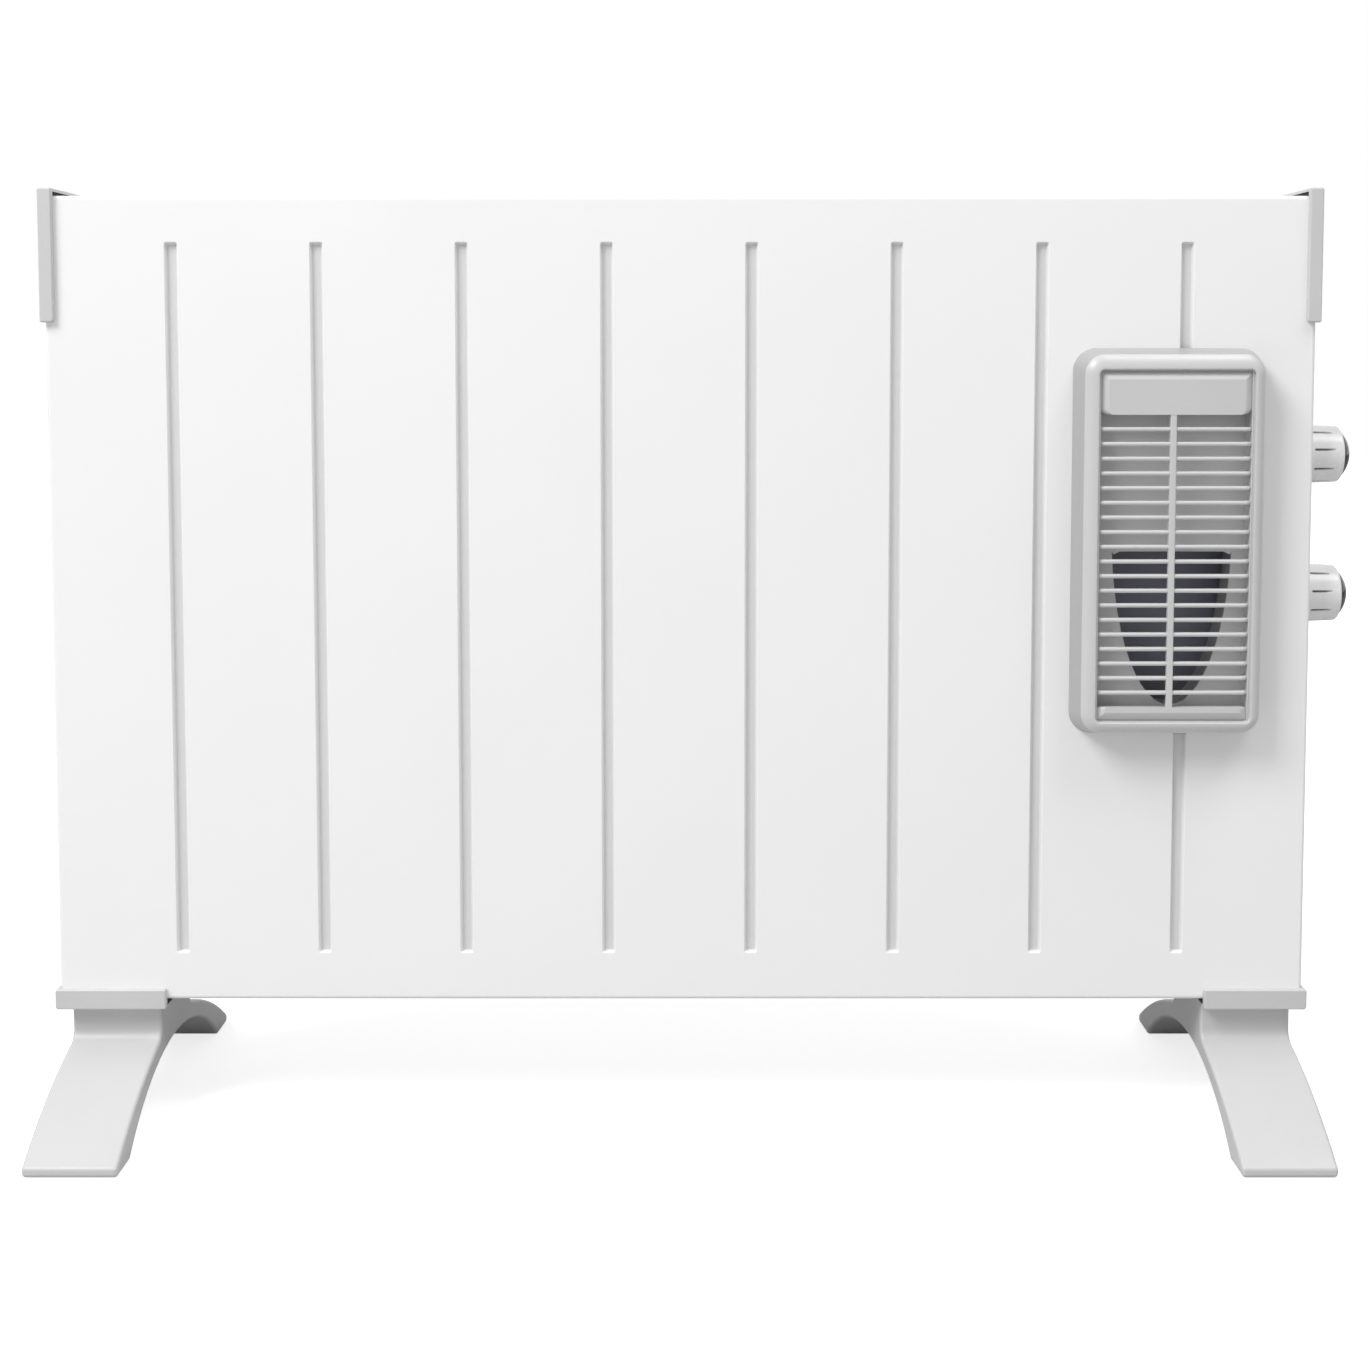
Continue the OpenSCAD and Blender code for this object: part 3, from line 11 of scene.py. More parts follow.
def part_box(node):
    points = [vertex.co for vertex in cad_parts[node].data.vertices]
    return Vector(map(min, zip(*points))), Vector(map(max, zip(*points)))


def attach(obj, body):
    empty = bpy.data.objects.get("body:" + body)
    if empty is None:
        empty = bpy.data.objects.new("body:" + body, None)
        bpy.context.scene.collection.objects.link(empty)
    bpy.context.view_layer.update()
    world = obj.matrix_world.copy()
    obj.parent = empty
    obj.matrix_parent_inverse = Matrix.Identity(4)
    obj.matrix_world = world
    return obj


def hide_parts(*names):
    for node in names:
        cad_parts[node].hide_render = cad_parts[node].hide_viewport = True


bl_info = {
    "name": "Convector heater",
    "version": (1, 0, 0),
    "blender": (4, 5, 0),
    "location": "3D View > Sidebar > Heater",
    "description": "Builds a white convector heater with a blower round its packed frame",
    "category": "Object",
}

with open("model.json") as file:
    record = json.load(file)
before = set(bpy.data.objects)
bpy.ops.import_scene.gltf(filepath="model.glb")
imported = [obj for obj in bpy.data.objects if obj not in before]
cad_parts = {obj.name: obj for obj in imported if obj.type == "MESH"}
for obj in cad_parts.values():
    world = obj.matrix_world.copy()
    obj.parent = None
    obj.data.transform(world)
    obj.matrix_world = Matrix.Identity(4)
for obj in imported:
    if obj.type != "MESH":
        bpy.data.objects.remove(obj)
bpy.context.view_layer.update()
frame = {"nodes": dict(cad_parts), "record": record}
SLOTS = {part["node"]: part["material_slot"] for part in frame["record"]["subparts"]}
BODY_OF = {node: body for body, nodes in frame["record"]["behaviour"]["bodies"].items() for node in nodes}

MM = 0.001
IMAGE = 1368
PRESSED = "pressed"
SIDES = {"left": -1, "right": 1}
MATERIAL_NAMES = {}


# Sizes and colours

def linear(code):
    """The linear colour of an sRGB hex value."""
    parts = [int(code[i:i + 2], 16) / 255 for i in (0, 2, 4)]
    return tuple(c / 12.92 if c <= 0.04045 else ((c + 0.055) / 1.055) ** 2.4 for c in parts)


def length(name, description, mm):
    return FloatProperty(name=name, description=description, default=mm * MM, unit="LENGTH",
                         subtype="DISTANCE", precision=5)


def degrees(name, description, value):
    return FloatProperty(name=name, description=description, default=math.radians(value), subtype="ANGLE")


def position(name, description, place):
    return FloatVectorProperty(name=name, description=description, default=place, unit="LENGTH",
                               subtype="TRANSLATION")


def how_many(name, description, number):
    return IntProperty(name=name, description=description, default=number, min=1)


def colour(name, description, code):
    return FloatVectorProperty(name=name, description=description, default=linear(code), size=3,
                               min=0, max=1, subtype="COLOR")


class CaseSizes(bpy.types.PropertyGroup):
    sheet: length("Sheet", "Thickness of the sheet steel", 1)
    flange: length("Flange", "Depth of the flange folded round the front panel", 7)
    roll: length("Fold radius", "Outer radius of the panel's folded edges", 2)
    groove_count: how_many("Grooves", "Number of pressed grooves", 8)
    groove_pitch: length("Groove pitch", "Distance between groove centres", 69.8)
    groove_shift: length("Groove shift", "Sideways shift of the row of grooves", -0.65)
    groove_width: length("Groove width", "Width of a groove at the panel's face", 6)
    groove_depth: length("Groove depth", "Depth of a groove", 2.5)
    groove_draft: length("Groove draft", "Slope of a groove's sides, across the groove", 0.7)
    groove_lip: length("Groove lip", "Rounding where the sheet bends into a groove", 0.35)
    groove_corner: length("Groove corner", "Corner radius at a groove's ends", 1.2)
    groove_low: length("Groove foot", "From the panel's lower edge to the grooves", 23.6)
    groove_high: length("Groove head", "From the panel's upper edge to the grooves", 22.3)
    cutout_rim: length("Cut-out rim", "From the window to the panel's cut-out behind it", 1.75)
    edge: length("Sheet edge", "Rounding of cut sheet edges", 0.25)


class ClipSizes(bpy.types.PropertyGroup):
    lip_width: length("Lip width", "Width of the clip's lip on the face of the case", 5)
    lip: length("Lip", "Thickness of the lip", 3)
    top: length("Top", "Thickness of the clip's top", 1.6)
    edge: length("Edge", "Rounding of the clip's edges", 0.8)
    corner: length("Corner", "Rounding of the lip's lower inner corner", 1.6)
    recess: length("Recess", "Depth of the finger recess behind the end wall", 22)
    recess_wall: length("Recess wall", "Wall of the finger recess", 1.8)
    mouth: length("Mouth", "Height of the recess's mouth", 38)
    hook: length("Hook", "Height of the hollow behind the mouth's upper edge", 6)
    mouth_rise: length("Mouth rise", "From the clip's lower end to the mouth", 7.6)
    mouth_corner: length("Mouth corner", "Corner radius of the mouth", 3)
    mouth_edge: length("Mouth edge", "Rounding of the mouth's outer edge", 0.9)


class FootSizes(bpy.types.PropertyGroup):
    leg: length("Leg", "Width of the leg", 44.2)
    inset: length("Leg inset", "From the case's side to the leg", 4.2)
    contact: length("Contact", "Length of each patch on the floor", 20)
    arch: length("Arch", "Height of the arch", 31)
    tip: length("Tip", "Height of the tip's face", 4.5)
    tip_edge: length("Tip edge", "Rounding of the tip's upper edge", 1.9)
    sole_edge: length("Sole edge", "Rounding where the sole ends", 1.9)
    neck: length("Neck", "From the tip to the neck", 76.2)
    neck_height: length("Neck height", "Height at which leg and neck meet", 38.2)
    neck_blend: length("Neck blend", "Rounding where leg and neck meet", 6)
    bow: length("Bow", "Rise of the leg above a straight line", 3.6)
    edge: length("Edge", "Rounding of the leg's long edges", 1.8)
    plate: length("Plate", "Thickness of the plate under the case", 1.2)
    lip: length("Lip", "Thickness of the lip on the face of the case", 3)
    lip_corner: length("Lip corner", "Rounding of the lip's corners", 1.5)
    lip_edge: length("Lip edge", "Rounding of the lip's edges", 0.8)
    screw_gap: length("Screw gap", "Distance between a foot's two screws", 24)


class FanSizes(bpy.types.PropertyGroup):
    corner: length("Corner", "Corner radius of the frame", 11)
    draft: length("Side draft", "Width that the frame's sides slope in", 3)
    dome: length("Dome", "Rise of the frame's rounded front above its sides", 3)
    dome_start: degrees("Dome start", "Slope at which the rounded front leaves the sides", 47)
    crease: length("Crease", "From the rounded front's foot back to the end of the sides", 0.45)
    ledge: length("Ledge", "Depth of the ledge that closes the seam round the grille", 2.4)
    ledge_width: length("Ledge width", "Width of that ledge", 0.5)
    wall_gap: length("Wall gap", "Gap between the frame and the blower's front wall", 0.3)
    seam: length("Seam", "Gap between the grille and the window's edge", 0.2)
    window_width: length("Window width", "Width of the frame's window", 73.9)
    window_shift: length("Window shift", "Distance that the window lies to the right of the middle", 0.65)
    window_height: length("Window height", "Height of the frame's window", 168.8)
    window_drop: length("Window drop", "Distance that the window lies below the middle", 0.85)
    window_corner: length("Window corner", "Corner radius of the window", 2.5)
    window_edge: length("Window edge", "Rounding of the window's edge", 0.6)
    bevel: length("Bevel", "Width of the pad's and the wedge's rounded slopes", 4.6)
    bevel_depth: length("Bevel depth", "Depth of these slopes", 3)
    block: length("Block", "Depth of the pad and the wedge", 4.4)
    block_corner: length("Block corner", "Radius of the corners where these slopes meet", 0.8)
    pad_corner: length("Pad corner", "Radius of the pad's lower corners", 4.6)
    pad: length("Pad", "Height of the grille's pad", 21.2)
    wedge: length("Wedge", "Height of the grille's wedge", 7)
    slat: length("Slat", "Thickness of a slat", 2)
    slat_depth: length("Slat depth", "Depth of a slat", 3)
    slat_round: length("Slat rounding", "Rounding of a slat's edges", 0.85)
    slat_setback: length("Slat setback", "From the pad's front to the slats' front", 0.6)
    slat_pitch: length("Slat pitch", "Distance between slats", 7.02)
    slat_count: how_many("Slats", "Number of slats", 19)
    slat_bend: length("Slat bend", "Radius at which a slat's ends turn back", 2.4)
    slat_return: length("Slat return", "Depth of a slat's turned ends", 6.2)
    bar: length("Bar", "Width of the centre bar", 3)
    bar_depth: length("Bar depth", "Depth of the centre bar", 3.4)
    bar_setback: length("Bar setback", "From the pad's front to the centre bar's front", 0.15)
    bar_shift: length("Bar shift", "Sideways shift of the centre bar", -1.5)
    bar_round: length("Bar rounding", "Rounding of the centre bar's edges", 0.5)
    rail: length("Rail", "Thickness of the grille's side rails", 0.9)
    rail_back: length("Rail setback", "From the slats' front to the side rails' front", 0.9)
    rail_round: length("Rail rounding", "Rounding of the rails' edges", 0.3)
    overlap: length("Overlap", "Length by which bar and rails reach into the pad and the wedge", 1)


class KnobSizes(bpy.types.PropertyGroup):
    taper: length("Taper", "Taper of the knob's radius", 0.7)
    length: length("Length", "Length of the knob without its cap", 20.4)
    rim: length("Rim", "Rounding of the knob's rim", 1.3)
    edge: length("Edge", "Rounding at the knob's base and its cap's seat", 0.4)
    cap_radius: length("Cap radius", "Radius of the cap", 12.5)
    cap_seat: length("Cap seat", "Depth of the cap's seat", 2.4)
    wall: length("Wall", "Wall of the knob", 2)
    boss: length("Boss", "Radius of the boss round the spindle", 5)
    bore: length("Bore", "Radius of the spindle's bore", 3.05)
    bore_start: length("Bore start", "From the knob's base to its boss", 4.3)
    bore_end: length("Bore end", "From the end of the bore to the hollow's floor", 0.3)
    grip_count: how_many("Grips", "Number of grip notches", 9)
    grip_start: length("Grip start", "From the knob's base to its notches", 5.2)
    grip_length: length("Grip length", "Length of a notch", 10.5)
    grip_lead: length("Grip lead", "Length over which a notch begins", 0.6)
    grip_depth: length("Grip depth", "Depth of a notch at its deep end", 1.35)
    grip_half: degrees("Grip half width", "Half the angle that a notch takes up", 3.2)
    upper_phase: degrees("Upper phase", "Turn of the upper knob's first notch", 11.7)
    lower_phase: degrees("Lower phase", "Turn of the lower knob's first notch", 9)


class ScrewSizes(bpy.types.PropertyGroup):
    case_head: length("Case head", "Radius of a case screw's head", 3.2)
    case_height: length("Case head height", "Height of a case screw's head", 1.8)
    case_shank: length("Case shank", "Radius of a case screw's shank", 1.7)
    case_length: length("Case screw", "Length of a case screw's shank", 6)
    inner_low: length("Inner screws' foot", "From the case's lower edge to the partition's lower screw",
                      60)
    inner_high: length("Inner screws' head", "From the case's upper edge to the partition's upper screw",
                       70)
    foot_head: length("Foot head", "Radius of a foot screw's head", 4)
    foot_height: length("Foot head height", "Height of a foot screw's head", 2.6)
    foot_shank: length("Foot shank", "Radius of a foot screw's shank", 2)


class Colours(bpy.types.PropertyGroup):
    case: colour("Case", "Powder-coated steel", "F2F2F2")
    control: colour("Control plate", "Moulded plate behind the knobs", "ECECEC")
    grey: colour("Grey mouldings", "Clips, feet, frame and grille", "C9C9C9")
    knob: colour("Knobs", "Moulded knobs", "EDEDED")
    # Painted shade: the bottoms of the knobs' grip notches are darkened.
    notch: colour("Notches", "Bottom of the knobs' grip notches", "7C7C7C")
    cap: colour("Caps", "Polished caps", "17171A")
    # Painted shade: the grooves' floors are greyed where shade falls in them.
    groove: colour("Grooves", "Powder coat at the bottom of the grooves", "DADADA")
    # Painted shade: the fan frame's side walls are darker than its front.
    wall: colour("Frame walls", "Side walls of the fan frame", "A9A9A9")
    blower: colour("Blower", "Casing of the blower", "CECECE")
    # Painted shade: the duct behind the blower's front wall is greyed to stand for the shade in it.
    duct: colour("Duct", "Grey duct behind the blower's front wall", "8E8E90")
    # Partly the blower's own dark bluish tint and partly painted shade deep in the casing.
    blower_inside_tint_and_shade: colour("Blower inside", "Dark bluish inside of the blower", "81818F")
    dark: colour("Dark mouldings", "Gland, control bodies and impeller", "2C2C31")


class StageSettings(bpy.types.PropertyGroup):
    lens: FloatProperty(name="Lens", description="Focal length in millimetres", default=50)
    eye: position("Eye", "Place of the camera", (-5.63 * MM, -948.75 * MM, 377.92 * MM))
    tilt: degrees("Tilt", "Downward tilt of the camera", 3.89)
    centre_x: FloatProperty(name="Centre X", description="Column of the optical centre", default=695.45)
    centre_y: FloatProperty(name="Centre Y", description="Row of the optical centre", default=480.5)
    ambient: FloatProperty(name="Ambient", description="Light from all round", default=0.46)
    key: FloatProperty(name="Key", description="Power of the upper left light", default=57, unit="POWER")
    key_place: position("Key place", "Place of the upper left light", (-1.5, -1.35, 2.2))
    key_target: position("Key target", "What the upper left light looks at", (0, 0, 0.25))
    fill: FloatProperty(name="Fill", description="Power of the high right light", default=27, unit="POWER")
    fill_place: position("Fill place", "Place of the high right light", (1.1, -0.9, 2.8))
    fill_target: position("Fill target", "What the high right light looks at", (0.2, 0, 0.1))
    lamp: length("Lamp", "Side of either light", 1200)
    floor: length("Floor", "Side of the floor", 12000)
    floor_grey: FloatProperty(name="Floor grey", description="Light that the floor throws back",
                              default=0.55)
    floor_light: FloatProperty(name="Floor light", description="Lift of the near floor for the camera",
                               default=0.74)
    near: length("Near", "Distance from the object at which the floor starts to turn white", 500)
    far: length("Far", "Distance from the object at which the floor is all white", 1800)


class HeaterSettings(bpy.types.PropertyGroup):
    case: PointerProperty(type=CaseSizes)
    clip: PointerProperty(type=ClipSizes)
    foot: PointerProperty(type=FootSizes)
    fan: PointerProperty(type=FanSizes)
    knob: PointerProperty(type=KnobSizes)
    screw: PointerProperty(type=ScrewSizes)
    colours: PointerProperty(type=Colours)
    stage: PointerProperty(type=StageSettings)


# Node trees

def add(tree, kind, inputs=None, **settings):
    """Adds a node with its settings; inputs hold values, or sockets to link from."""
    node = tree.nodes.new(kind)
    for name, value in settings.items():
        setattr(node, name, value)
    for socket, value in (inputs or {}).items():
        if isinstance(value, bpy.types.NodeSocket):
            tree.links.new(value, node.inputs[socket])
        else:
            node.inputs[socket].default_value = value
    return node


def maths(tree, operation, first, second):
    return add(tree, "ShaderNodeMath", {0: first, 1: second}, operation=operation).outputs[0]


def start_material(name, **values):
    """A material with a Principled shader whose constants are given by socket name."""
    material = bpy.data.materials.new(name)
    material.use_nodes = True
    tree = material.node_tree
    tree.nodes.clear()
    shader = add(tree, "ShaderNodeBsdfPrincipled", {k.replace("_", " "): v for k, v in values.items()})
    add(tree, "ShaderNodeOutputMaterial", {"Surface": shader.outputs["BSDF"]})
    return material, tree, shader


def grain(tree, size, detail=2.0, stretch=(1, 1, 1)):
    """Value of a noise whose spots are about size wide, longer where stretch is below 1."""
    place = add(tree, "ShaderNodeTexCoord").outputs["Object"]
    mapped = add(tree, "ShaderNodeMapping", {"Vector": place, "Scale": stretch})
    noise = add(tree, "ShaderNodeTexNoise", {"Vector": mapped.outputs["Vector"], "Scale": 1 / size,
                                             "Detail": detail})
    return noise.outputs["Fac"]


def between(tree, value, low, high):
    """A value from low to high as a noise goes through its usual range."""
    node = add(tree, "ShaderNodeMapRange", {"Value": value, "From Min": 0.3, "From Max": 0.7,
                                            "To Min": low, "To Max": high})
    return node.outputs["Result"]


def mixed(tree, value, first, second):
    """Colour that goes from the first colour, or socket, to the second with a value."""
    mix = add(tree, "ShaderNodeMix", {"Factor": value}, data_type="RGBA")
    for index, tone in ((6, first), (7, second)):
        if isinstance(tone, bpy.types.NodeSocket):
            tree.links.new(tone, mix.inputs[index])
        else:
            mix.inputs[index].default_value = (*tone, 1)
    return mix.outputs[2]


def mottled(tree, base, size, darker):
    """A colour with soft spots about size wide, in which it is a little darker."""
    return mixed(tree, between(tree, grain(tree, size), 0, 1), [c * darker for c in base], base)


def painted_sunk_shade(tree, face, tone):
    """Paints another, darker tone where the mesh says that it is pressed in: painted shade in the hollows.
    """
    pressed = add(tree, "ShaderNodeAttribute", attribute_name=PRESSED).outputs["Fac"]
    return mixed(tree, pressed, face, tone)


def behind(tree, start, stop):
    """A value that goes from 0 to 1 between two depths behind the front, along Y."""
    place = add(tree, "ShaderNodeTexCoord").outputs["Object"]
    depth = add(tree, "ShaderNodeSeparateXYZ", {0: place}).outputs["Y"]
    return add(tree, "ShaderNodeMapRange", {"Value": depth, "From Min": start, "From Max": stop}).outputs[0]


def finish(tree, shader, face, gloss, relief):
    """Links a colour, a roughness given as (value, low, high) and a relief given as (value, depth)."""
    tree.links.new(face, shader.inputs["Base Color"])
    tree.links.new(between(tree, *gloss), shader.inputs["Roughness"])
    bump = add(tree, "ShaderNodeBump", {"Height": relief[0], "Distance": relief[1], "Strength": 1.0})
    tree.links.new(bump.outputs["Normal"], shader.inputs["Normal"])


def satin(tree, shader, face, roughness, depth=0.012 * MM):
    """Finish from a spark-eroded tool, with its texture drawn coarser than the real 0.1 mm to show."""
    finish(tree, shader, face, (grain(tree, 9 * MM), roughness - 0.04, roughness + 0.04),
           (grain(tree, 0.8 * MM, 3.0), depth))


# Materials

def powder_coat(name, base, groove=None):
    """Powder-coated steel: satin, with a faint orange peel, and greyer in the grooves as a painted shade.
    """
    material, tree, shader = start_material(name, IOR=1.5)
    face = mottled(tree, base, 90 * MM, 0.985)
    # Painted shade at the bottom of the grooves, by how far the mesh is pressed in.
    if groove:
        face = painted_sunk_shade(tree, face, groove)
    finish(tree, shader, face, (grain(tree, 14 * MM), 0.37, 0.43), (grain(tree, 1.3 * MM), 0.012 * MM))
    return material


def moulded(name, base, roughness, depth=0.012 * MM, notch=None, wall=None, shoulder=0.0):
    """Moulded ABS or polyamide: satin and slightly uneven in tone.

    A painted shade darkens notches, and walls that lie behind a shoulder.
    """
    material, tree, shader = start_material(name, IOR=1.53)
    face = mottled(tree, base, 40 * MM, 0.975)
    # Painted shade in the notches, by how far the mesh is pressed in.
    if notch:
        face = painted_sunk_shade(tree, face, notch)
    # Painted shade on the walls behind the shoulder, darker from that depth back.
    if wall:
        face = mixed(tree, behind(tree, shoulder, shoulder + 0.5 * MM), face, wall)
    satin(tree, shader, face, roughness, depth)
    return material


def blower_plastic(name, base, duct, deep):
    """Moulded polypropylene: a light front wall, then a painted shade that greys the duct behind it, and a
    dark bluish inside, partly its own tint and partly painted shade.
    """
    material, tree, shader = start_material(name, IOR=1.5)
    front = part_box("blower_casing")[0].y
    # Painted shade: the colour greys from the front wall into the duct behind it.
    face = mixed(tree, behind(tree, front + 0.4 * MM, front + 1.5 * MM), base, duct)
    # Deeper still, a dark bluish inside: partly the moulding's tint, partly painted shade.
    face = mixed(tree, behind(tree, front + 18 * MM, front + 21 * MM), face, deep)
    satin(tree, shader, face, 0.5)
    return material


def polished_cap(name, base):
    """Polished acrylic: near black and glossy, with the slight ripple of a moulding."""
    material, tree, shader = start_material(name, IOR=1.49)
    finish(tree, shader, mottled(tree, base, 6 * MM, 0.8), (grain(tree, 5 * MM), 0.06, 0.12),
           (grain(tree, 7 * MM), 0.01 * MM))
    return material


def packing_rubber(name):
    """Extruded EPDM rubber: dull black with a fine run along its length, which also serves as painted shade
    in the gaps where the packing shows.
    """
    material, tree, shader = start_material(name, IOR=1.5)
    streaks = grain(tree, 1.5 * MM, stretch=(1, 0.1, 1))
    face = mixed(tree, streaks, linear("0E0E0E"), linear("1A1A1B"))
    finish(tree, shader, face, (streaks, 0.75, 0.9), (streaks, 0.05 * MM))
    return material


def zinc_plate(name):
    """Bright zinc-plated steel: pale blue-grey with a light rolling grain."""
    material, tree, shader = start_material(name, Metallic=1.0)
    lines = grain(tree, 1.2 * MM, 3.0, (1, 1, 0.08))
    spots = between(tree, grain(tree, 12 * MM), 0, 1)
    face = mixed(tree, spots, linear("A9ADB3"), linear("C6C9CC"))
    finish(tree, shader, face, (lines, 0.26, 0.42), (lines, 0.01 * MM))
    return material


def extruded_aluminium(name):
    """Extruded aluminium: pale, with die lines along the length of the case."""
    material, tree, shader = start_material(name, Metallic=1.0)
    lines = grain(tree, 0.9 * MM, 3.0, (0.03, 1, 1))
    face = mixed(tree, lines, linear("B4B6B8"), linear("CCCED0"))
    finish(tree, shader, face, (lines, 0.3, 0.5), (lines, 0.02 * MM))
    return material


def turned_brass(name):
    """Turned brass and bronze: warm yellow with a fine turning grain."""
    material, tree, shader = start_material(name, Metallic=1.0)
    lines = grain(tree, 0.7 * MM, 2.0)
    face = mixed(tree, lines, linear("B08C4A"), linear("CDA862"))
    finish(tree, shader, face, (lines, 0.25, 0.4), (lines, 0.01 * MM))
    return material


def wound_wire(name):
    """Varnished winding: copper wire side by side, each turn as wide as the real 0.8 mm."""
    material, tree, shader = start_material(name, IOR=1.55)
    place = add(tree, "ShaderNodeTexCoord").outputs["Object"]
    # A wave texture of this scale has one band to the metre
    one_band = 0.31
    waves = {"Vector": place, "Scale": one_band / (0.8 * MM), "Distortion": 0.3}
    turns = add(tree, "ShaderNodeTexWave", waves, bands_direction="Z").outputs["Fac"]
    face = mixed(tree, turns, linear("6E3B1C"), linear("B8733C"))
    finish(tree, shader, face, (turns, 0.3, 0.4), (turns, 0.2 * MM))
    return material


def steatite(name):
    """Unglazed steatite: dense cream ceramic with a faint mottle."""
    material, tree, shader = start_material(name, IOR=1.55)
    mottle = grain(tree, 3 * MM, 4.0)
    face = mixed(tree, mottle, linear("DCD5C4"), linear("EFEAE0"))
    finish(tree, shader, face, (mottle, 0.5, 0.65), (grain(tree, 0.8 * MM), 0.03 * MM))
    return material


def sleeved_wire(name):
    """Silicone-sleeved wire: brick red, dull, with a fine braid."""
    material, tree, shader = start_material(name, IOR=1.43)
    place = add(tree, "ShaderNodeTexCoord").outputs["Object"]
    cells = {"Vector": place, "Scale": 1 / (0.8 * MM)}
    braid = add(tree, "ShaderNodeTexVoronoi", cells).outputs["Distance"]
    face = mixed(tree, braid, linear("8C3527"), linear("B5543F"))
    finish(tree, shader, face, (braid, 0.5, 0.62), (braid, 0.06 * MM))
    return material


def make_materials(colours, shoulder):
    """One material for each slot of the record, and one for each node with a finish of its own."""
    return {
        "case_paint": powder_coat("powder_coated_steel", colours.case),
        # The front panel's grooves carry painted shade.
        "front_panel": powder_coat("powder_coated_front", colours.case, colours.groove),
        "control_plastic": moulded("control_plate_abs", colours.control, 0.45),
        "grey_plastic": moulded("light_grey_abs", colours.grey, 0.42),
        # The fan frame's side walls carry painted shade.
        "fan_frame": moulded("frame_abs", colours.grey, 0.34, wall=colours.wall, shoulder=shoulder),
        # The knobs' notches carry painted shade.
        "knob_plastic": moulded("knob_abs", colours.knob, 0.28, depth=0.006 * MM, notch=colours.notch),
        "cap_plastic": polished_cap("polished_acrylic", colours.cap),
        "dark_plastic": moulded("dark_polyamide", colours.dark, 0.5),
        # The blower's duct and inside carry painted shade.
        "blower_plastic": blower_plastic("blower_polypropylene", colours.blower, colours.duct,
                                         colours.blower_inside_tint_and_shade),
        "packing_rubber": packing_rubber("packing_epdm"),
        "steel": zinc_plate("zinc_plated_steel"),
        "element_metal": extruded_aluminium("extruded_aluminium"),
        "bush_bronze": turned_brass("turned_brass"),
        "coil_wrap": wound_wire("varnished_winding"),
        "insulator_ceramic": steatite("unglazed_steatite"),
        "wire_insulation": sleeved_wire("silicone_sleeve"),
    }


def material_of(node):
    """A node's own material, or that of its slot, from those that the finishes operator made."""
    return bpy.data.materials[MATERIAL_NAMES.get(node) or MATERIAL_NAMES[SLOTS[node]]]


class HEATER_OT_inner_parts(bpy.types.Operator):
    """Give every node that still shows its finish"""
    bl_idname = "heater.inner_parts"
    bl_label = "Inner parts"

    def execute(self, context):
        for node, piece in frame["nodes"].items():
            piece.data.materials.clear()
            piece.data.materials.append(material_of(node))
        return {"FINISHED"}


class HEATER_OT_finishes(bpy.types.Operator):
    """Make the materials of all finishes"""
    bl_idname = "heater.finishes"
    bl_label = "Finishes"

    def execute(self, context):
        heater = context.scene.heater
        for slot, material in make_materials(heater.colours, frame_shoulder(heater.fan)).items():
            MATERIAL_NAMES[slot] = material.name
        return {"FINISHED"}


# Meshes

def rounded(points, radii, steps=5):
    """Closed outline through points, with each corner turned on an arc of its own radius."""
    outline = []
    count = len(points)
    for i, (x, y) in enumerate(points):
        here = Vector((x, y))
        before = (Vector(points[i - 1]) - here).normalized()
        after = (Vector(points[(i + 1) % count]) - here).normalized()
        half = before.angle(after) / 2
        radius = radii[i] if hasattr(radii, "__len__") else radii
        if radius == 0 or half > math.radians(89):
            outline.append(here)
            continue
        centre = here + (before + after).normalized() * radius / math.sin(half)
        start = here + before * radius / math.tan(half) - centre
        turn = start.angle_signed(here + after * radius / math.tan(half) - centre)
        for k in range(steps + 1):
            outline.append(centre + Matrix.Rotation(-turn * k / steps, 2) @ start)
    return outline


def rectangle(width, height, x=0.0, y=0.0):
    """Corners of a rectangle about a middle, anticlockwise from the lower left one."""
    return [(x + sx * width / 2, y + sy * height / 2) for sx, sy in ((-1, -1), (1, -1), (1, 1), (-1, 1))]


def grown(outline, distance):
    """The outline moved outwards by a distance, or inwards by a negative one."""
    moved = []
    count = len(outline)
    for i, here in enumerate(outline):
        before = (here - outline[i - 1]).normalized()
        after = (outline[(i + 1) % count] - here).normalized()
        normal = Vector((before.y + after.y, -before.x - after.x)).normalized()
        moved.append(here + normal * distance / max(0.3, normal.dot(Vector((before.y, -before.x)))))
    return moved


PLANES = {
    "X": lambda u, v, depth: Vector((depth, u, v)),
    "Y": lambda u, v, depth: Vector((u, depth, v)),
    "Z": lambda u, v, depth: Vector((u, v, depth)),
}


def loft(bm, rings, closed=False):
    """Skin over rings of points; a closed one joins the last ring to the first, another is capped."""
    rows = [[bm.verts.new(point) for point in ring] for ring in rings]
    count = len(rows[0])
    pairs = list(zip(rows, rows[1:]))
    if closed:
        pairs.append((rows[-1], rows[0]))
    for low, high in pairs:
        for i in range(count):
            j = (i + 1) % count
            bm.faces.new((low[i], low[j], high[j], high[i]))
    if not closed:
        bm.faces.new(rows[0][::-1])
        bm.faces.new(rows[-1])


def new_piece(name, bm, weld=1e-6):
    """Object from a mesh in the making, welded and with its faces turned outwards."""
    bmesh.ops.remove_doubles(bm, verts=bm.verts, dist=weld)
    bmesh.ops.recalc_face_normals(bm, faces=bm.faces)
    mesh = bpy.data.meshes.new(name)
    bm.to_mesh(mesh)
    bm.free()
    piece = bpy.data.objects.new(name, mesh)
    bpy.context.scene.collection.objects.link(piece)
    return piece


def skin(name, rings, closed=False):
    bm = bmesh.new()
    loft(bm, rings, closed)
    return new_piece(name, bm)


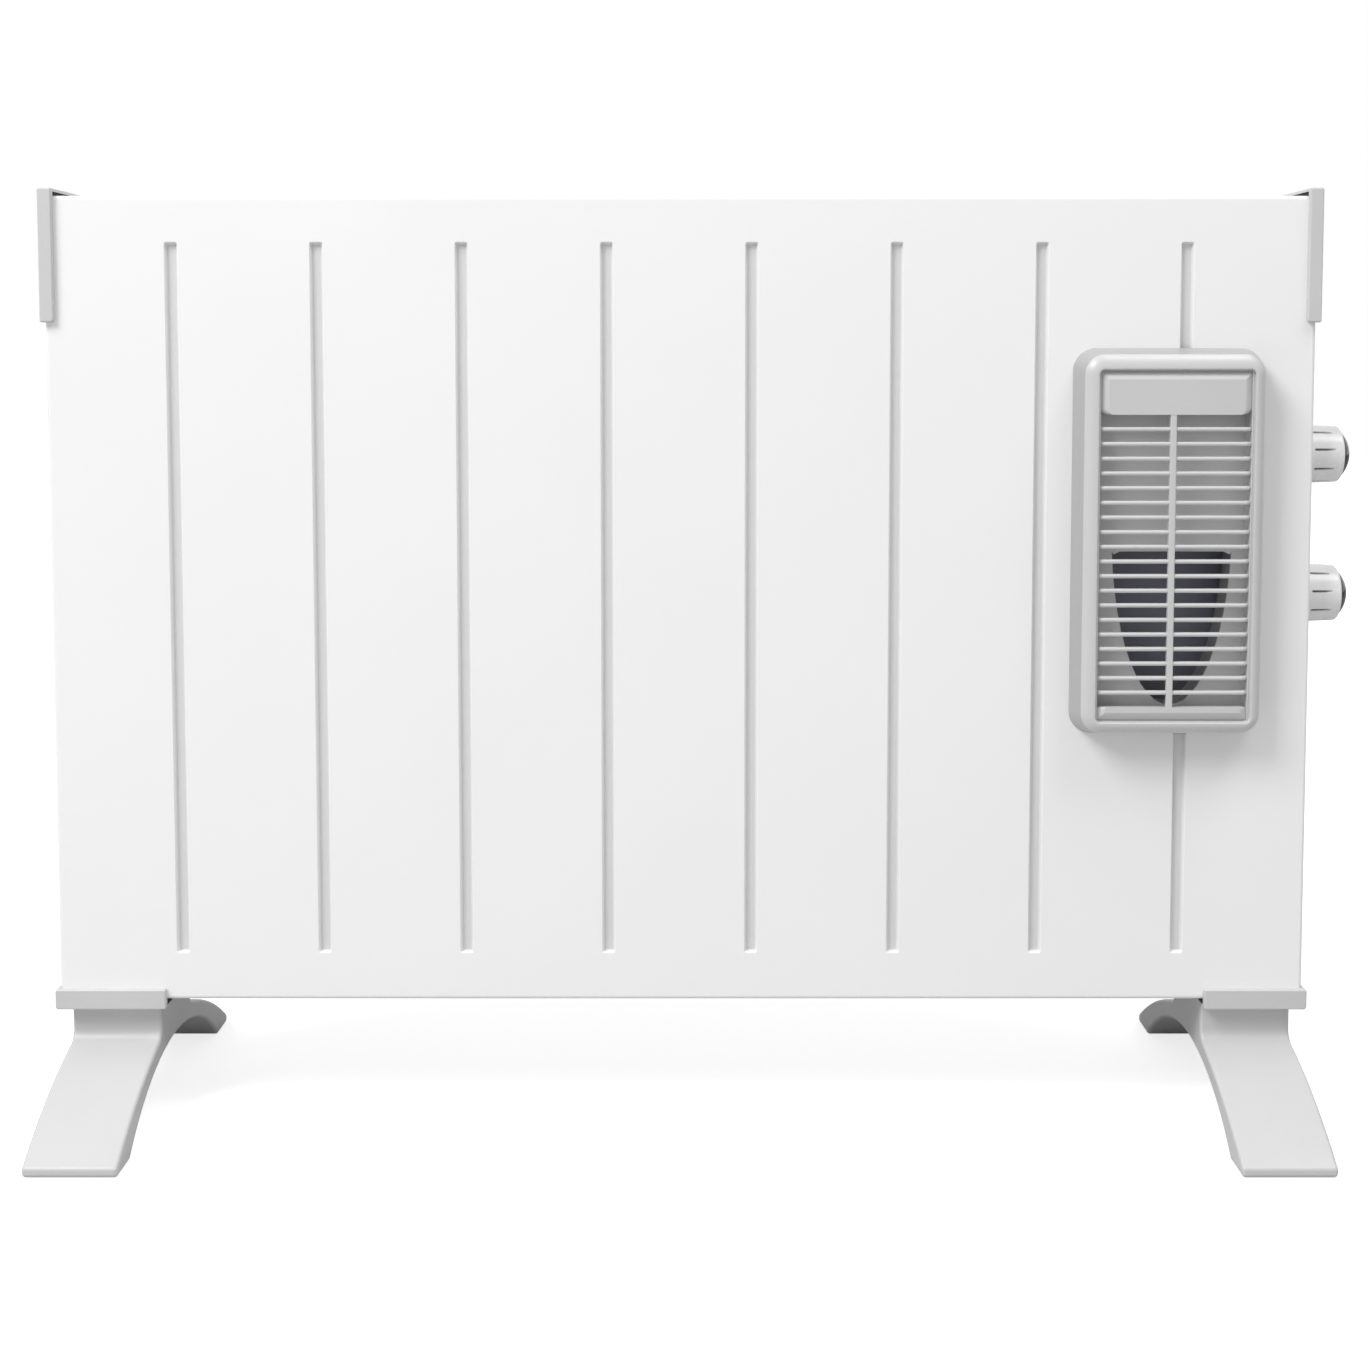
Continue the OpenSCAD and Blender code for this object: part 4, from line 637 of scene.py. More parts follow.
def prism(name, outline, axis, low, high, edge=0.0, steps=4):
    """Outline drawn out along an axis, with both ends rounded at their edges."""
    place = PLANES[axis]
    turns = [math.pi / 2 * k / steps for k in range(steps + 1)] if edge else [math.pi / 2]
    near = [(low + edge * (1 - math.cos(a)), -edge * (1 - math.sin(a))) for a in turns]
    far = [(low + high - depth, inset) for depth, inset in reversed(near)]
    rings = [[place(p.x, p.y, depth) for p in grown(outline, inset)] for depth, inset in near + far]
    return skin(name, rings)


def round_angles(steps):
    """Angles evenly spread over a full turn."""
    return [2 * math.pi * i / steps for i in range(steps)]


def lathe(name, profile, centre, angles, dent=None):
    """Profile of distances along X and radii, turned about an axis along X; dent lowers a radius."""
    rings = []
    for x, radius in profile:
        ring = []
        for angle in angles:
            r = max(0.0, radius - (dent(x, radius, angle) if dent else 0.0))
            ring.append(centre + Vector((x, r * math.cos(angle), r * math.sin(angle))))
        rings.append(ring)
    return skin(name, rings)


def evaluate(piece):
    """Makes what a piece's modifiers show its plain mesh."""
    depsgraph = bpy.context.evaluated_depsgraph_get()
    mesh = bpy.data.meshes.new_from_object(piece.evaluated_get(depsgraph), depsgraph=depsgraph)
    old = piece.data
    piece.modifiers.clear()
    piece.data = mesh
    bpy.data.meshes.remove(old)
    return piece


def combine(piece, other, operation):
    """Joins a piece with another, or cuts the other out of it; the other is used up."""
    modifier = piece.modifiers.new("combine", "BOOLEAN")
    modifier.operation = operation
    modifier.object = other
    modifier.solver = "EXACT"
    evaluate(piece)
    bpy.data.objects.remove(other)
    return piece


def joined(name, *parts):
    """One object from several that only touch."""
    bm = bmesh.new()
    for part in parts:
        bm.from_mesh(part.data)
        bpy.data.objects.remove(part)
    return new_piece(name, bm, 1e-7)


def dress(piece, *nodes, bevel=0.0, crease=40):
    """Gives a piece its finish and body, keeps creases past an angle, and hides the nodes it replaces."""
    piece.data.materials.clear()
    piece.data.materials.append(material_of(nodes[0]))
    for polygon in piece.data.polygons:
        polygon.use_smooth = True
        polygon.material_index = 0
    if bevel:
        modifier = piece.modifiers.new("edges", "BEVEL")
        modifier.width = bevel
        modifier.segments = 2
        modifier.limit_method = "ANGLE"
        modifier.angle_limit = math.radians(crease)
        modifier.use_clamp_overlap = True
    else:
        piece.data.set_sharp_from_angle(angle=math.radians(crease))
    normals = piece.modifiers.new("normals", "WEIGHTED_NORMAL")
    normals.keep_sharp = True
    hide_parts(*nodes)
    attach(piece, BODY_OF[nodes[0]])
    return piece


def softened(node, name, bevel):
    """Merged copy of a node with its edges rounded."""
    bm = bmesh.new()
    bm.from_mesh(frame["nodes"][node].data)
    bmesh.ops.remove_doubles(bm, verts=bm.verts, dist=1e-6)
    bmesh.ops.dissolve_limit(bm, angle_limit=math.radians(1), verts=bm.verts, edges=bm.edges)
    return dress(new_piece(name, bm), node, bevel=bevel)


# Geometry trees

def start_tree(name, **inputs):
    """Geometry tree with a Geometry input, and other inputs whose types are given by name."""
    tree = bpy.data.node_groups.new(name, "GeometryNodeTree")
    for socket, kind in {"Geometry": "Geometry", **inputs}.items():
        tree.interface.new_socket(socket.replace("_", " "), in_out="INPUT", socket_type="NodeSocket" + kind)
    tree.interface.new_socket("Geometry", in_out="OUTPUT", socket_type="NodeSocketGeometry")
    return tree, add(tree, "NodeGroupInput").outputs


def end_tree(tree, group, geometry):
    """Realizes what the tree made and gives it its material."""
    real = add(tree, "GeometryNodeRealizeInstances", {"Geometry": geometry}).outputs[0]
    paint = add(tree, "GeometryNodeSetMaterial", {"Geometry": real, "Material": group["Material"]})
    add(tree, "NodeGroupOutput", {"Geometry": paint.outputs[0]})
    return tree


def grow(piece, tree, **values):
    """Runs a tree on a piece with values by input name, and keeps the result as a plain mesh."""
    modifier = piece.modifiers.new(tree.name, "NODES")
    modifier.node_group = tree
    for socket in tree.interface.items_tree:
        key = socket.name.replace(" ", "_")
        if socket.in_out == "INPUT" and key in values:
            modifier[socket.identifier] = values[key]
    return evaluate(piece)


def copies_tree():
    """Repeats a piece in columns and rows."""
    tree, group = start_tree("copies_in_rows", Columns="Int", Column_Step="Vector", Rows="Int",
                             Row_Step="Vector", Material="Material")

    def line(word):
        row = {"Count": group[word + "s"], "Offset": group[word + " Step"]}
        return add(tree, "GeometryNodeMeshLine", row, mode="OFFSET").outputs[0]

    def repeated(points, instance):
        stamp = {"Points": points, "Instance": instance}
        return add(tree, "GeometryNodeInstanceOnPoints", stamp).outputs[0]

    spots = add(tree, "GeometryNodeRealizeInstances", {"Geometry": repeated(line("Column"), line("Row"))})
    return end_tree(tree, group, repeated(spots.outputs[0], group["Geometry"]))


def grooves_tree():
    """Presses a row of grooves with rounded ends into a face that lies in X and Z."""
    numbers = ("First", "Pitch", "Half_Width", "Middle", "Half_Length", "Corner", "Lip", "Wall", "Depth")
    tree, group = start_tree("pressed_grooves", Count="Int", **{name: "Float" for name in numbers},
                             Material="Material")

    def calc(operation, first, second=0.0):
        return maths(tree, operation, first, second)

    place = add(tree, "GeometryNodeInputPosition").outputs[0]
    xyz = add(tree, "ShaderNodeSeparateXYZ", {0: place}).outputs
    along = calc("DIVIDE", calc("SUBTRACT", xyz["X"], group["First"]), group["Pitch"])
    number = calc("MAXIMUM", calc("ROUND", along), 0.0)
    number = calc("MINIMUM", number, calc("SUBTRACT", group["Count"], 1.0))
    centre = calc("ADD", group["First"], calc("MULTIPLY", number, group["Pitch"]))
    across = calc("ABSOLUTE", calc("SUBTRACT", xyz["X"], centre))
    up = calc("ABSOLUTE", calc("SUBTRACT", xyz["Z"], group["Middle"]))
    u = calc("ADD", calc("SUBTRACT", across, group["Half Width"]), group["Corner"])
    v = calc("ADD", calc("SUBTRACT", up, group["Half Length"]), group["Corner"])
    corner = add(tree, "ShaderNodeCombineXYZ", {"X": calc("MAXIMUM", u), "Y": calc("MAXIMUM", v)})
    outside = add(tree, "ShaderNodeVectorMath", {0: corner.outputs[0]}, operation="LENGTH").outputs["Value"]
    inside = calc("MINIMUM", calc("MAXIMUM", u, v), 0.0)
    gone_in = calc("SUBTRACT", group["Corner"], calc("ADD", outside, inside))
    start = calc("MULTIPLY", group["Lip"], -1.0)
    sunk = add(tree, "ShaderNodeMapRange", {"Value": gone_in, "From Min": start, "From Max": group["Wall"],
                                            "To Min": 0.0, "To Max": group["Depth"]},
               interpolation_type="SMOOTHSTEP")
    # Share of the depth, kept for the panel's material to paint shade in the grooves.
    share = calc("DIVIDE", sunk.outputs[0], group["Depth"])
    mark = {"Geometry": group["Geometry"], "Name": PRESSED, "Value": share}
    marked = add(tree, "GeometryNodeStoreNamedAttribute", mark, data_type="FLOAT", domain="POINT")
    offset = add(tree, "ShaderNodeCombineXYZ", {"Y": sunk.outputs[0]}).outputs[0]
    pressed = add(tree, "GeometryNodeSetPosition", {"Geometry": marked.outputs[0], "Offset": offset})
    return end_tree(tree, group, pressed.outputs[0])


# Case

def case_span():
    """Middle of the case in X, and half its width."""
    low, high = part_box("front_panel")
    return (low.x + high.x) / 2, (high.x - low.x) / 2


def wall_steps(case):
    """Distances inwards from a groove's edge at which the mesh has a line."""
    reach = case.groove_draft + 2 * case.groove_lip
    return [reach * i / 8 - case.groove_lip for i in range(9)]


def flat_tray(case, fan, first):
    """Front panel before its grooves are pressed: a face with lines along the grooves, and rolled edges."""
    low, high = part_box("front_panel")
    mid_x, mid_z = window_middle(fan)
    cut_x = [mid_x + s * (fan.window_width / 2 + case.cutout_rim) for s in (-1, 1)]
    cut_z = [mid_z + s * (fan.window_height / 2 + case.cutout_rim) for s in (-1, 1)]
    steps = wall_steps(case)
    centres = [first + i * case.groove_pitch for i in range(case.groove_count)]
    across = [c + s * (case.groove_width / 2 - t) for c in centres for s in (-1, 1) for t in steps]
    ends = [low.z + case.groove_low + t for t in steps] + [high.z - case.groove_high - t for t in steps]
    xs = sorted([low.x + case.roll, high.x - case.roll] + across + cut_x)
    zs = sorted([low.z + case.roll, high.z - case.roll] + ends + cut_z)
    bm = bmesh.new()
    grid = [[bm.verts.new((x, low.y, z)) for z in zs] for x in xs]
    for i in range(len(xs) - 1):
        for j in range(len(zs) - 1):
            if cut_x[0] <= xs[i] < cut_x[1] and cut_z[0] <= zs[j] < cut_z[1]:
                continue
            bm.faces.new((grid[i][j], grid[i + 1][j], grid[i + 1][j + 1], grid[i][j + 1]))
    turns = 6
    rings = []
    for k in range(turns + 2):
        angle = min(k, turns) / turns * math.pi / 2
        out = case.roll * math.sin(angle)
        depth = low.y + (case.flange if k > turns else case.roll * (1 - math.cos(angle)))
        rings.append([Vector((x, depth, z)) for x, z in rim_points(xs, zs, out)])
    rows = [[bm.verts.new(point) for point in ring] for ring in rings]
    for near, far in zip(rows, rows[1:]):
        for i in range(len(near)):
            j = (i + 1) % len(near)
            bm.faces.new((near[i], near[j], far[j], far[i]))
    return new_piece("front_panel_shell", bm, 1e-7)


def rim_points(xs, zs, out, steps=5):
    """Points round a grid's edge, moved outwards, with arcs about its four corners."""
    sides = [
        ([(x, zs[0] - out) for x in xs], (xs[-1], zs[0]), -90),
        ([(xs[-1] + out, z) for z in zs], (xs[-1], zs[-1]), 0),
        ([(x, zs[-1] + out) for x in reversed(xs)], (xs[0], zs[-1]), 90),
        ([(xs[0] - out, z) for z in reversed(zs)], (xs[0], zs[0]), 180),
    ]
    points = []
    for side, (cx, cz), start in sides:
        points += side
        for k in range(1, steps):
            angle = math.radians(start + 90 * k / steps)
            points.append((cx + out * math.cos(angle), cz + out * math.sin(angle)))
    return points


class HEATER_OT_front_panel(bpy.types.Operator):
    """Press the grooved front panel"""
    bl_idname = "heater.front_panel"
    bl_label = "Front panel"

    def execute(self, context):
        case, fan = context.scene.heater.case, context.scene.heater.fan
        low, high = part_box("front_panel")
        first = case_span()[0] + case.groove_shift - (case.groove_count - 1) / 2 * case.groove_pitch
        groove_low, groove_high = low.z + case.groove_low, high.z - case.groove_high
        panel = flat_tray(case, fan, first)
        grow(panel, grooves_tree(), Count=case.groove_count, First=first, Pitch=case.groove_pitch,
             Half_Width=case.groove_width / 2, Middle=(groove_low + groove_high) / 2,
             Half_Length=(groove_high - groove_low) / 2, Corner=case.groove_corner, Lip=case.groove_lip,
             Wall=case.groove_draft + case.groove_lip, Depth=case.groove_depth,
             Material=material_of("front_panel"))
        sheet = panel.modifiers.new("sheet", "SOLIDIFY")
        sheet.thickness = case.sheet
        sheet.offset = -1
        evaluate(panel)
        dress(panel, "front_panel")
        return {"FINISHED"}


class HEATER_OT_case_sheets(bpy.types.Operator):
    """Round the edges of the other sheets of the case"""
    bl_idname = "heater.case_sheets"
    bl_label = "Case sheets"

    def execute(self, context):
        edge = context.scene.heater.case.edge
        for node in ("rear_panel", "top_grille", "bottom_grille", "side_panel_left", "side_panel_right",
                     "control_plate"):
            softened(node, node + "_shell", edge)
        return {"FINISHED"}


# Clips and feet

def channel(name, side, x_in, x_out, x_wall, y_out, y_in, z_low, z_high, z_floor, radii, edge):
    """End cap of the case: a block with rounded edges, hollowed where the case sits in it.

    x values are distances from the middle of the case, on the given side of it.
    """
    mid = case_span()[0]
    corners = rectangle(x_out - x_in, z_high - z_low, (x_in + x_out) / 2, (z_low + z_high) / 2)
    outline = [Vector((mid + side * p.x, p.y)) for p in rounded(corners, radii)]
    if side < 0:
        outline.reverse()
    cap = prism(name, outline, "Y", -y_out, y_out, edge)
    beyond = 10 * MM
    opens_down = z_floor > (z_low + z_high) / 2
    room_low, room_high = (z_low - beyond, z_floor) if opens_down else (z_floor, z_high + beyond)
    room = rectangle(x_wall - x_in + beyond, room_high - room_low,
                     mid + side * (x_wall + x_in - beyond) / 2, (room_low + room_high) / 2)
    return combine(cap, prism("room", [Vector(p) for p in room], "Y", -y_in, y_in), "DIFFERENCE")


def handle_clip(name, node, side, clip):
    """Clip with its finger recess, whose mouth has a rounded edge."""
    low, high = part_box(node)
    mid, half = case_span()
    x_out = half + (high.x - low.x) - clip.recess - clip.recess_wall
    radii = (clip.corner, clip.edge * 1.1, clip.edge * 1.3, clip.edge * 1.1)
    cap = channel(name, side, half - clip.lip_width, x_out, half, high.y, high.y - clip.lip, low.z, high.z,
                  high.z - clip.top, radii, clip.edge)
    mouth_low = low.z + clip.mouth_rise
    hollow = clip.mouth + clip.hook
    half_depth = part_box("control_plate")[1].y
    inner = 2 * (half_depth - clip.recess_wall)
    beyond, overlap = 1 * MM, 0.2 * MM

    def across(near, far):
        return sorted((mid + side * near, mid + side * far))

    height = hollow + 2 * clip.recess_wall
    box = rounded(rectangle(2 * half_depth, height, 0, mouth_low + hollow / 2), 1 * MM)
    box_x = across(half - clip.recess - clip.recess_wall, half + overlap)
    combine(cap, prism("box", box, "X", *box_x), "UNION")
    room = rounded(rectangle(inner, hollow, 0, mouth_low + hollow / 2), clip.mouth_corner)
    combine(cap, prism("hollow", room, "X", *across(half - clip.recess, half)), "DIFFERENCE")
    opening = rounded(rectangle(inner, clip.mouth, 0, mouth_low + clip.mouth / 2), clip.mouth_corner)
    flare = [(half - clip.recess + beyond, 0.0)]
    for k in range(7):
        angle = math.pi / 2 * k / 6
        flare.append((x_out - clip.mouth_edge * math.cos(angle), clip.mouth_edge * math.sin(angle)))
    flare.append((x_out + beyond, clip.mouth_edge))
    rings = [[Vector((mid + side * x, p.x, p.y)) for p in grown(opening, out)] for x, out in flare]
    combine(cap, skin("mouth", rings), "DIFFERENCE")
    return dress(cap, node)


def leg_outline(foot, top, bow_steps=12, arch_steps=24):
    """Side view of a foot without its plate: both legs, the neck and the arch between them."""
    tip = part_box("foot_left")[1].y
    neck = tip - foot.neck
    run, rise = foot.neck, foot.neck_height - foot.tip
    chord = math.hypot(run, rise)
    radius = (chord ** 2 / 4 + foot.bow ** 2) / (2 * foot.bow)
    lean, half = math.atan2(rise, run), math.asin(chord / 2 / radius)
    centre = Vector(((neck + tip) / 2, (foot.neck_height + foot.tip) / 2))
    centre -= (radius - foot.bow) * Vector((math.sin(lean), math.cos(lean)))
    slope = [math.pi / 2 - lean + half - 2 * half * i / bow_steps for i in range(bow_steps + 1)]
    upper = [tuple(centre + radius * Vector((math.cos(a), math.sin(a)))) for a in slope]
    contact = tip - foot.contact
    arch = (contact ** 2 + foot.arch ** 2) / (2 * foot.arch)
    reach = math.asin(contact / arch)
    spans = [reach - 2 * reach * i / arch_steps for i in range(1, arch_steps)]
    under = [(arch * math.sin(a), foot.arch - arch + arch * math.cos(a)) for a in spans]
    front = [(neck, top)] + upper + [(tip, 0.0), (contact, 0.0)]
    front_radii = [0.0, foot.neck_blend] + [0.0] * (bow_steps - 1)
    front_radii += [foot.tip_edge, foot.sole_edge, foot.sole_edge]
    points = front + under + [(-y, z) for y, z in reversed(front)]
    radii = front_radii + [0.0] * len(under) + front_radii[::-1]
    return rounded(points[::-1], radii[::-1])


def foot_piece(name, node, side, foot):
    """Foot: a plate and its lips under the case's end, and the arched leg under the plate."""
    low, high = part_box(node)
    mid, half = case_span()
    inner, outer = sorted((side * (low.x - mid), side * (high.x - mid)))
    plate_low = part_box(node.replace("foot", "foot_packing"))[0].z - foot.plate
    half_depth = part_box("rear_panel")[1].y
    radii = (foot.lip_edge * 1.1, foot.lip_corner, foot.lip_edge * 1.3, foot.lip_edge * 1.3)
    cap = channel(name, side, inner, outer, half, half_depth + foot.lip, half_depth, plate_low, high.z,
                  plate_low + foot.plate, radii, foot.lip_edge)
    leg_x = sorted(mid + side * x for x in (half - foot.inset - foot.leg, half - foot.inset))
    leg = prism("leg", leg_outline(foot, plate_low + foot.plate / 2), "X", *leg_x, foot.edge)
    combine(cap, leg, "UNION")
    return dress(cap, node)


class HEATER_OT_clips(bpy.types.Operator):
    """Mould the two corner clips with their finger recesses"""
    bl_idname = "heater.clips"
    bl_label = "Corner clips"

    def execute(self, context):
        for word, side in SIDES.items():
            handle_clip(f"clip_{word}_moulding", f"handle_clip_{word}", side, context.scene.heater.clip)
        return {"FINISHED"}


class HEATER_OT_feet(bpy.types.Operator):
    """Mould the two feet"""
    bl_idname = "heater.feet"
    bl_label = "Feet"

    def execute(self, context):
        for word, side in SIDES.items():
            foot_piece(f"foot_{word}_moulding", f"foot_{word}", side, context.scene.heater.foot)
        return {"FINISHED"}


# Fan housing

def window_middle(fan):
    """Middle of the frame's window in X and Z."""
    low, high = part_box("fan_frame")
    return (low.x + high.x) / 2 + fan.window_shift, (low.z + high.z) / 2 - fan.window_drop


def frame_shoulder(fan):
    """Depth in Y at which the frame's sides end and its rounded front starts."""
    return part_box("fan_frame")[0].y + fan.dome


class HEATER_OT_fan_frame(bpy.types.Operator):
    """Mould the frame of the fan housing"""
    bl_idname = "heater.fan_frame"
    bl_label = "Fan frame"

    def execute(self, context):
        fan, case = context.scene.heater.fan, context.scene.heater.case
        low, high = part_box("fan_frame")
        window_x, window_z = window_middle(fan)
        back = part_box("front_panel")[0].y
        wall_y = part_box("blower_casing")[0].y - fan.wall_gap
        shoulder = frame_shoulder(fan)
        rings = []

        def outer(inset):
            around = rectangle(high.x - low.x - 2 * inset, high.z - low.z - 2 * inset,
                               (low.x + high.x) / 2, (low.z + high.z) / 2)
            return rounded(around, fan.corner - inset * 0.5, 10)

        def inner(out):
            around = rectangle(fan.window_width + 2 * out, fan.window_height + 2 * out, window_x, window_z)
            return rounded(around, max(fan.window_corner + out, 1 * MM), 10)

        def ring(outline, y):
            rings.append([Vector((p.x, y, p.y)) for p in outline])

        ring(outer(0), back)
        ring(outer(fan.draft * 0.97), shoulder + fan.crease)
        foot, edge, start = outer(fan.draft), inner(fan.window_edge), fan.dome_start
        for k in range(9):
            angle = start * (1 - k / 9)
            part = 1 - math.sin(angle) / math.sin(start)
            rise = fan.dome * (1 - (1 - math.cos(angle)) / (1 - math.cos(start)))
            ring([a.lerp(b, part) for a, b in zip(foot, edge)], shoulder - rise)
        for k in range(5):
            angle = math.pi / 2 * k / 4
            out = fan.window_edge * (1 - math.sin(angle))
            ring(inner(out), low.y + fan.window_edge * (1 - math.cos(angle)))
        ring(inner(0), low.y + fan.ledge)
        ring(inner(-fan.ledge_width), low.y + fan.ledge)
        ring(inner(-fan.ledge_width), wall_y)
        ring(inner(case.cutout_rim), wall_y)
        ring(inner(case.cutout_rim), back)
        dress(skin("fan_frame_moulding", rings, closed=True), "fan_frame", crease=25)
        return {"FINISHED"}


def bevelled_block(name, mid_x, low_z, high_z, width, front, fan, up):
    """Pad or wedge of the grille: sloping at its sides and at the end that up names, plain at the other."""
    height = high_z - low_z
    tight, wide = fan.block_corner, min(fan.pad_corner, height * 0.4)
    radii = (wide, wide, tight, tight) if up > 0 else (tight, tight, wide, wide)
    bevel = min(fan.bevel, height * 0.7)
    mid_z = (low_z + high_z) / 2
    rings = []

    def ring(inset, y):
        corners = [max(0.3 * MM, r - inset * 0.5) for r in radii]
        around = rectangle(width - 2 * inset, height - inset, mid_x, mid_z - up * inset / 2)
        rings.append([Vector((p.x, y, p.y)) for p in rounded(around, corners, 6)])

    ring(0, front + fan.block)
    for part in (0, 0.1, 0.25, 0.4, 0.55, 0.7, 0.85, 0.95, 1):
        ring(bevel * part, front + fan.bevel_depth * (1 - part) ** 1.4)
    return skin(name, rings)


def slat(mid_x, z, width, front, fan):
    """One slat: straight across the window, with its ends turned back to the rails."""
    reach = width / 2 - fan.slat_bend
    middle = front + fan.slat_depth / 2
    path = [Vector((-width / 2, front + fan.slat_return)), Vector((-width / 2, middle + fan.slat_bend))]
    for k in range(1, 6):
        angle = math.pi + math.pi / 2 * k / 6
        path.append(Vector((-reach + fan.slat_bend * math.cos(angle),
                            middle + fan.slat_bend + fan.slat_bend * math.sin(angle))))
    path.append(Vector((-reach, middle)))
    path += [Vector((-p.x, p.y)) for p in reversed(path)]
    section = rounded(rectangle(fan.slat_depth, fan.slat), fan.slat_round, 3)
    rings = []
    for i, here in enumerate(path):
        before = path[max(i - 1, 0)]
        after = path[min(i + 1, len(path) - 1)]
        run = (after - before).normalized()
        across = Vector((run.y, -run.x))
        rings.append([Vector((mid_x + here.x + across.x * s.x, here.y + across.y * s.x, z + s.y))
                      for s in section])
    return skin("slat", rings)


class HEATER_OT_fan_grille(bpy.types.Operator):
    """Mould the grille: pad, wedge, slats, centre bar and rails"""
    bl_idname = "heater.fan_grille"
    bl_label = "Fan grille"

    def execute(self, context):
        fan = context.scene.heater.fan
        mid_x, mid_z = window_middle(fan)
        low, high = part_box("fan_grille")
        front = low.y
        width, reach = fan.window_width - 2 * fan.seam, fan.window_height / 2 - fan.seam
        low_z, high_z = mid_z - reach, mid_z + reach
        pad_low, wedge_high = high_z - fan.pad, low_z + fan.wedge
        parts = [bevelled_block("pad", mid_x, pad_low, high_z, width, front, fan, 1),
                 bevelled_block("wedge", mid_x, low_z, wedge_high, width, front, fan, -1)]
        slat_front = front + fan.slat_setback
        top = (pad_low + wedge_high + (fan.slat_count - 1) * fan.slat_pitch) / 2
        one = slat(mid_x, top, width - fan.slat_depth, slat_front, fan)
        parts.append(grow(one, copies_tree(), Columns=1, Column_Step=(0, 0, 0), Rows=fan.slat_count,
                          Row_Step=(0, 0, -fan.slat_pitch), Material=material_of("fan_grille")))
        bar = rectangle(fan.bar, fan.bar_depth, mid_x + fan.bar_shift,
                        front + fan.bar_setback + fan.bar_depth / 2)
        parts.append(prism("bar", rounded(bar, fan.bar_round, 3), "Z", wedge_high - fan.overlap,
                           pad_low + fan.overlap))
        rail_front = slat_front + fan.rail_back
        for side in (-1, 1):
            rail = rectangle(fan.rail, high.y - rail_front, mid_x + side * (width - fan.rail) / 2,
                             (rail_front + high.y) / 2)
            parts.append(prism("rail", rounded(rail, fan.rail_round, 2), "Z", low_z + fan.overlap,
                               high_z - fan.overlap))
        dress(joined("fan_grille_moulding", *parts), "fan_grille")
        return {"FINISHED"}


class HEATER_OT_blower(bpy.types.Operator):
    """Round the edges of the blower's casing behind the grille"""
    bl_idname = "heater.blower"
    bl_label = "Blower"

    def execute(self, context):
        edge = context.scene.heater.case.edge
        softened("blower_casing", "blower_casing_moulding", edge)
        softened("blower_backplate", "blower_backplate_moulding", edge)
        return {"FINISHED"}


# Controls

def turned_box(node):
    """Start of a turned piece's axis along X, its radius and its length."""
    low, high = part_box(node)
    return Vector((low.x, (low.y + high.y) / 2, (low.z + high.z) / 2)), (high.z - low.z) / 2, high.x - low.x


def knob_profile(knob, base):
    """Half section of a knob, from the middle of the cap's seat round to the end of its bore."""
    end, edge, nick = knob.length, knob.edge, knob.edge / 4
    seat = end - knob.cap_seat
    profile = [(seat, 0.0), (seat, knob.cap_radius), (end - edge, knob.cap_radius),
               (end - nick, knob.cap_radius + nick)]
    rim_x, rim_radius = end - knob.rim, base - knob.taper - knob.rim
    for k in range(1, 9):
        angle = math.pi / 2 * (1 - k / 8)
        profile.append((rim_x + knob.rim * math.sin(angle), rim_radius + knob.rim * math.cos(angle)))
    low, high = knob.grip_start - knob.grip_lead, knob.grip_start + knob.grip_length + knob.grip_lead
    for k in range(21):
        x = high - (high - low) * k / 20
        profile.append((x, base - knob.taper * x / end))
    floor = seat - knob.wall
    inner, bore_end = base - knob.wall, floor - knob.bore_end
    return profile + [(edge, base), (nick, base - nick), (0.0, base - edge), (0.0, inner), (floor, inner),
                      (floor, knob.boss), (knob.bore_start, knob.boss), (knob.bore_start, knob.bore),
                      (bore_end, knob.bore), (bore_end, 0.0)]


def knob_piece(name, node, knob, phase):
    """Knob with tapered grip notches, each of which runs out towards the cap."""
    centre, base, _ = turned_box(node)
    pitch = 2 * math.pi / knob.grip_count
    first = -math.pi - phase
    steps = [math.radians(a) for a in (-3.8, -2.9, -1.9, -0.9, 0, 0.9, 1.9, 2.9, 3.8)]
    steps += [pitch * share for share in (0.25, 0.38, 0.5, 0.62, 0.75)]
    angles = [first + i * pitch + step for i in range(knob.grip_count) for step in steps]
    start, stop = knob.grip_start, knob.grip_start + knob.grip_length

    def dent(x, radius, angle):
        away = abs((angle - first + pitch / 2) % pitch - pitch / 2)
        if radius < base - knob.wall / 2 or not start <= x <= stop or away > knob.grip_half:
            return 0.0
        lead = min(1.0, (x - start) / knob.grip_lead)
        fade = (1 - (x - start) / (stop - start)) ** 0.5
        return knob.grip_depth * lead * fade * (0.5 + 0.5 * math.cos(math.pi * away / knob.grip_half))

    piece = lathe(name, knob_profile(knob, base), centre, angles, dent)
    # Share of each notch's depth, by which the knob's material paints shade in the notch.
    marks = piece.data.attributes.new(PRESSED, "FLOAT", "POINT").data
    for vertex, mark in zip(piece.data.vertices, marks):
        place = vertex.co - centre
        radius = math.hypot(place.y, place.z)
        if start < place.x < stop and radius > base - knob.wall:
            sunk = base - knob.taper * place.x / knob.length - radius
            mark.value = min(1.0, 2 * sunk / knob.grip_depth)
    return dress(piece, node)


def cap_piece(name, node, knob):
    """Cap of a knob: a plug in the knob's seat under a shallow dome."""
    centre, _, total = turned_box(node)
    radius, dome = knob.cap_radius, total - knob.cap_seat
    ball = (radius ** 2 + dome ** 2) / (2 * dome)
    spread = math.asin(radius / ball)
    profile = [(0.0, 0.0), (0.0, radius), (knob.cap_seat, radius)]
    for k in range(1, 17):
        angle = spread * (1 - k / 16)
        profile.append((total - ball + ball * math.cos(angle), ball * math.sin(angle)))
    return dress(lathe(name, profile, centre, round_angles(96)), node)


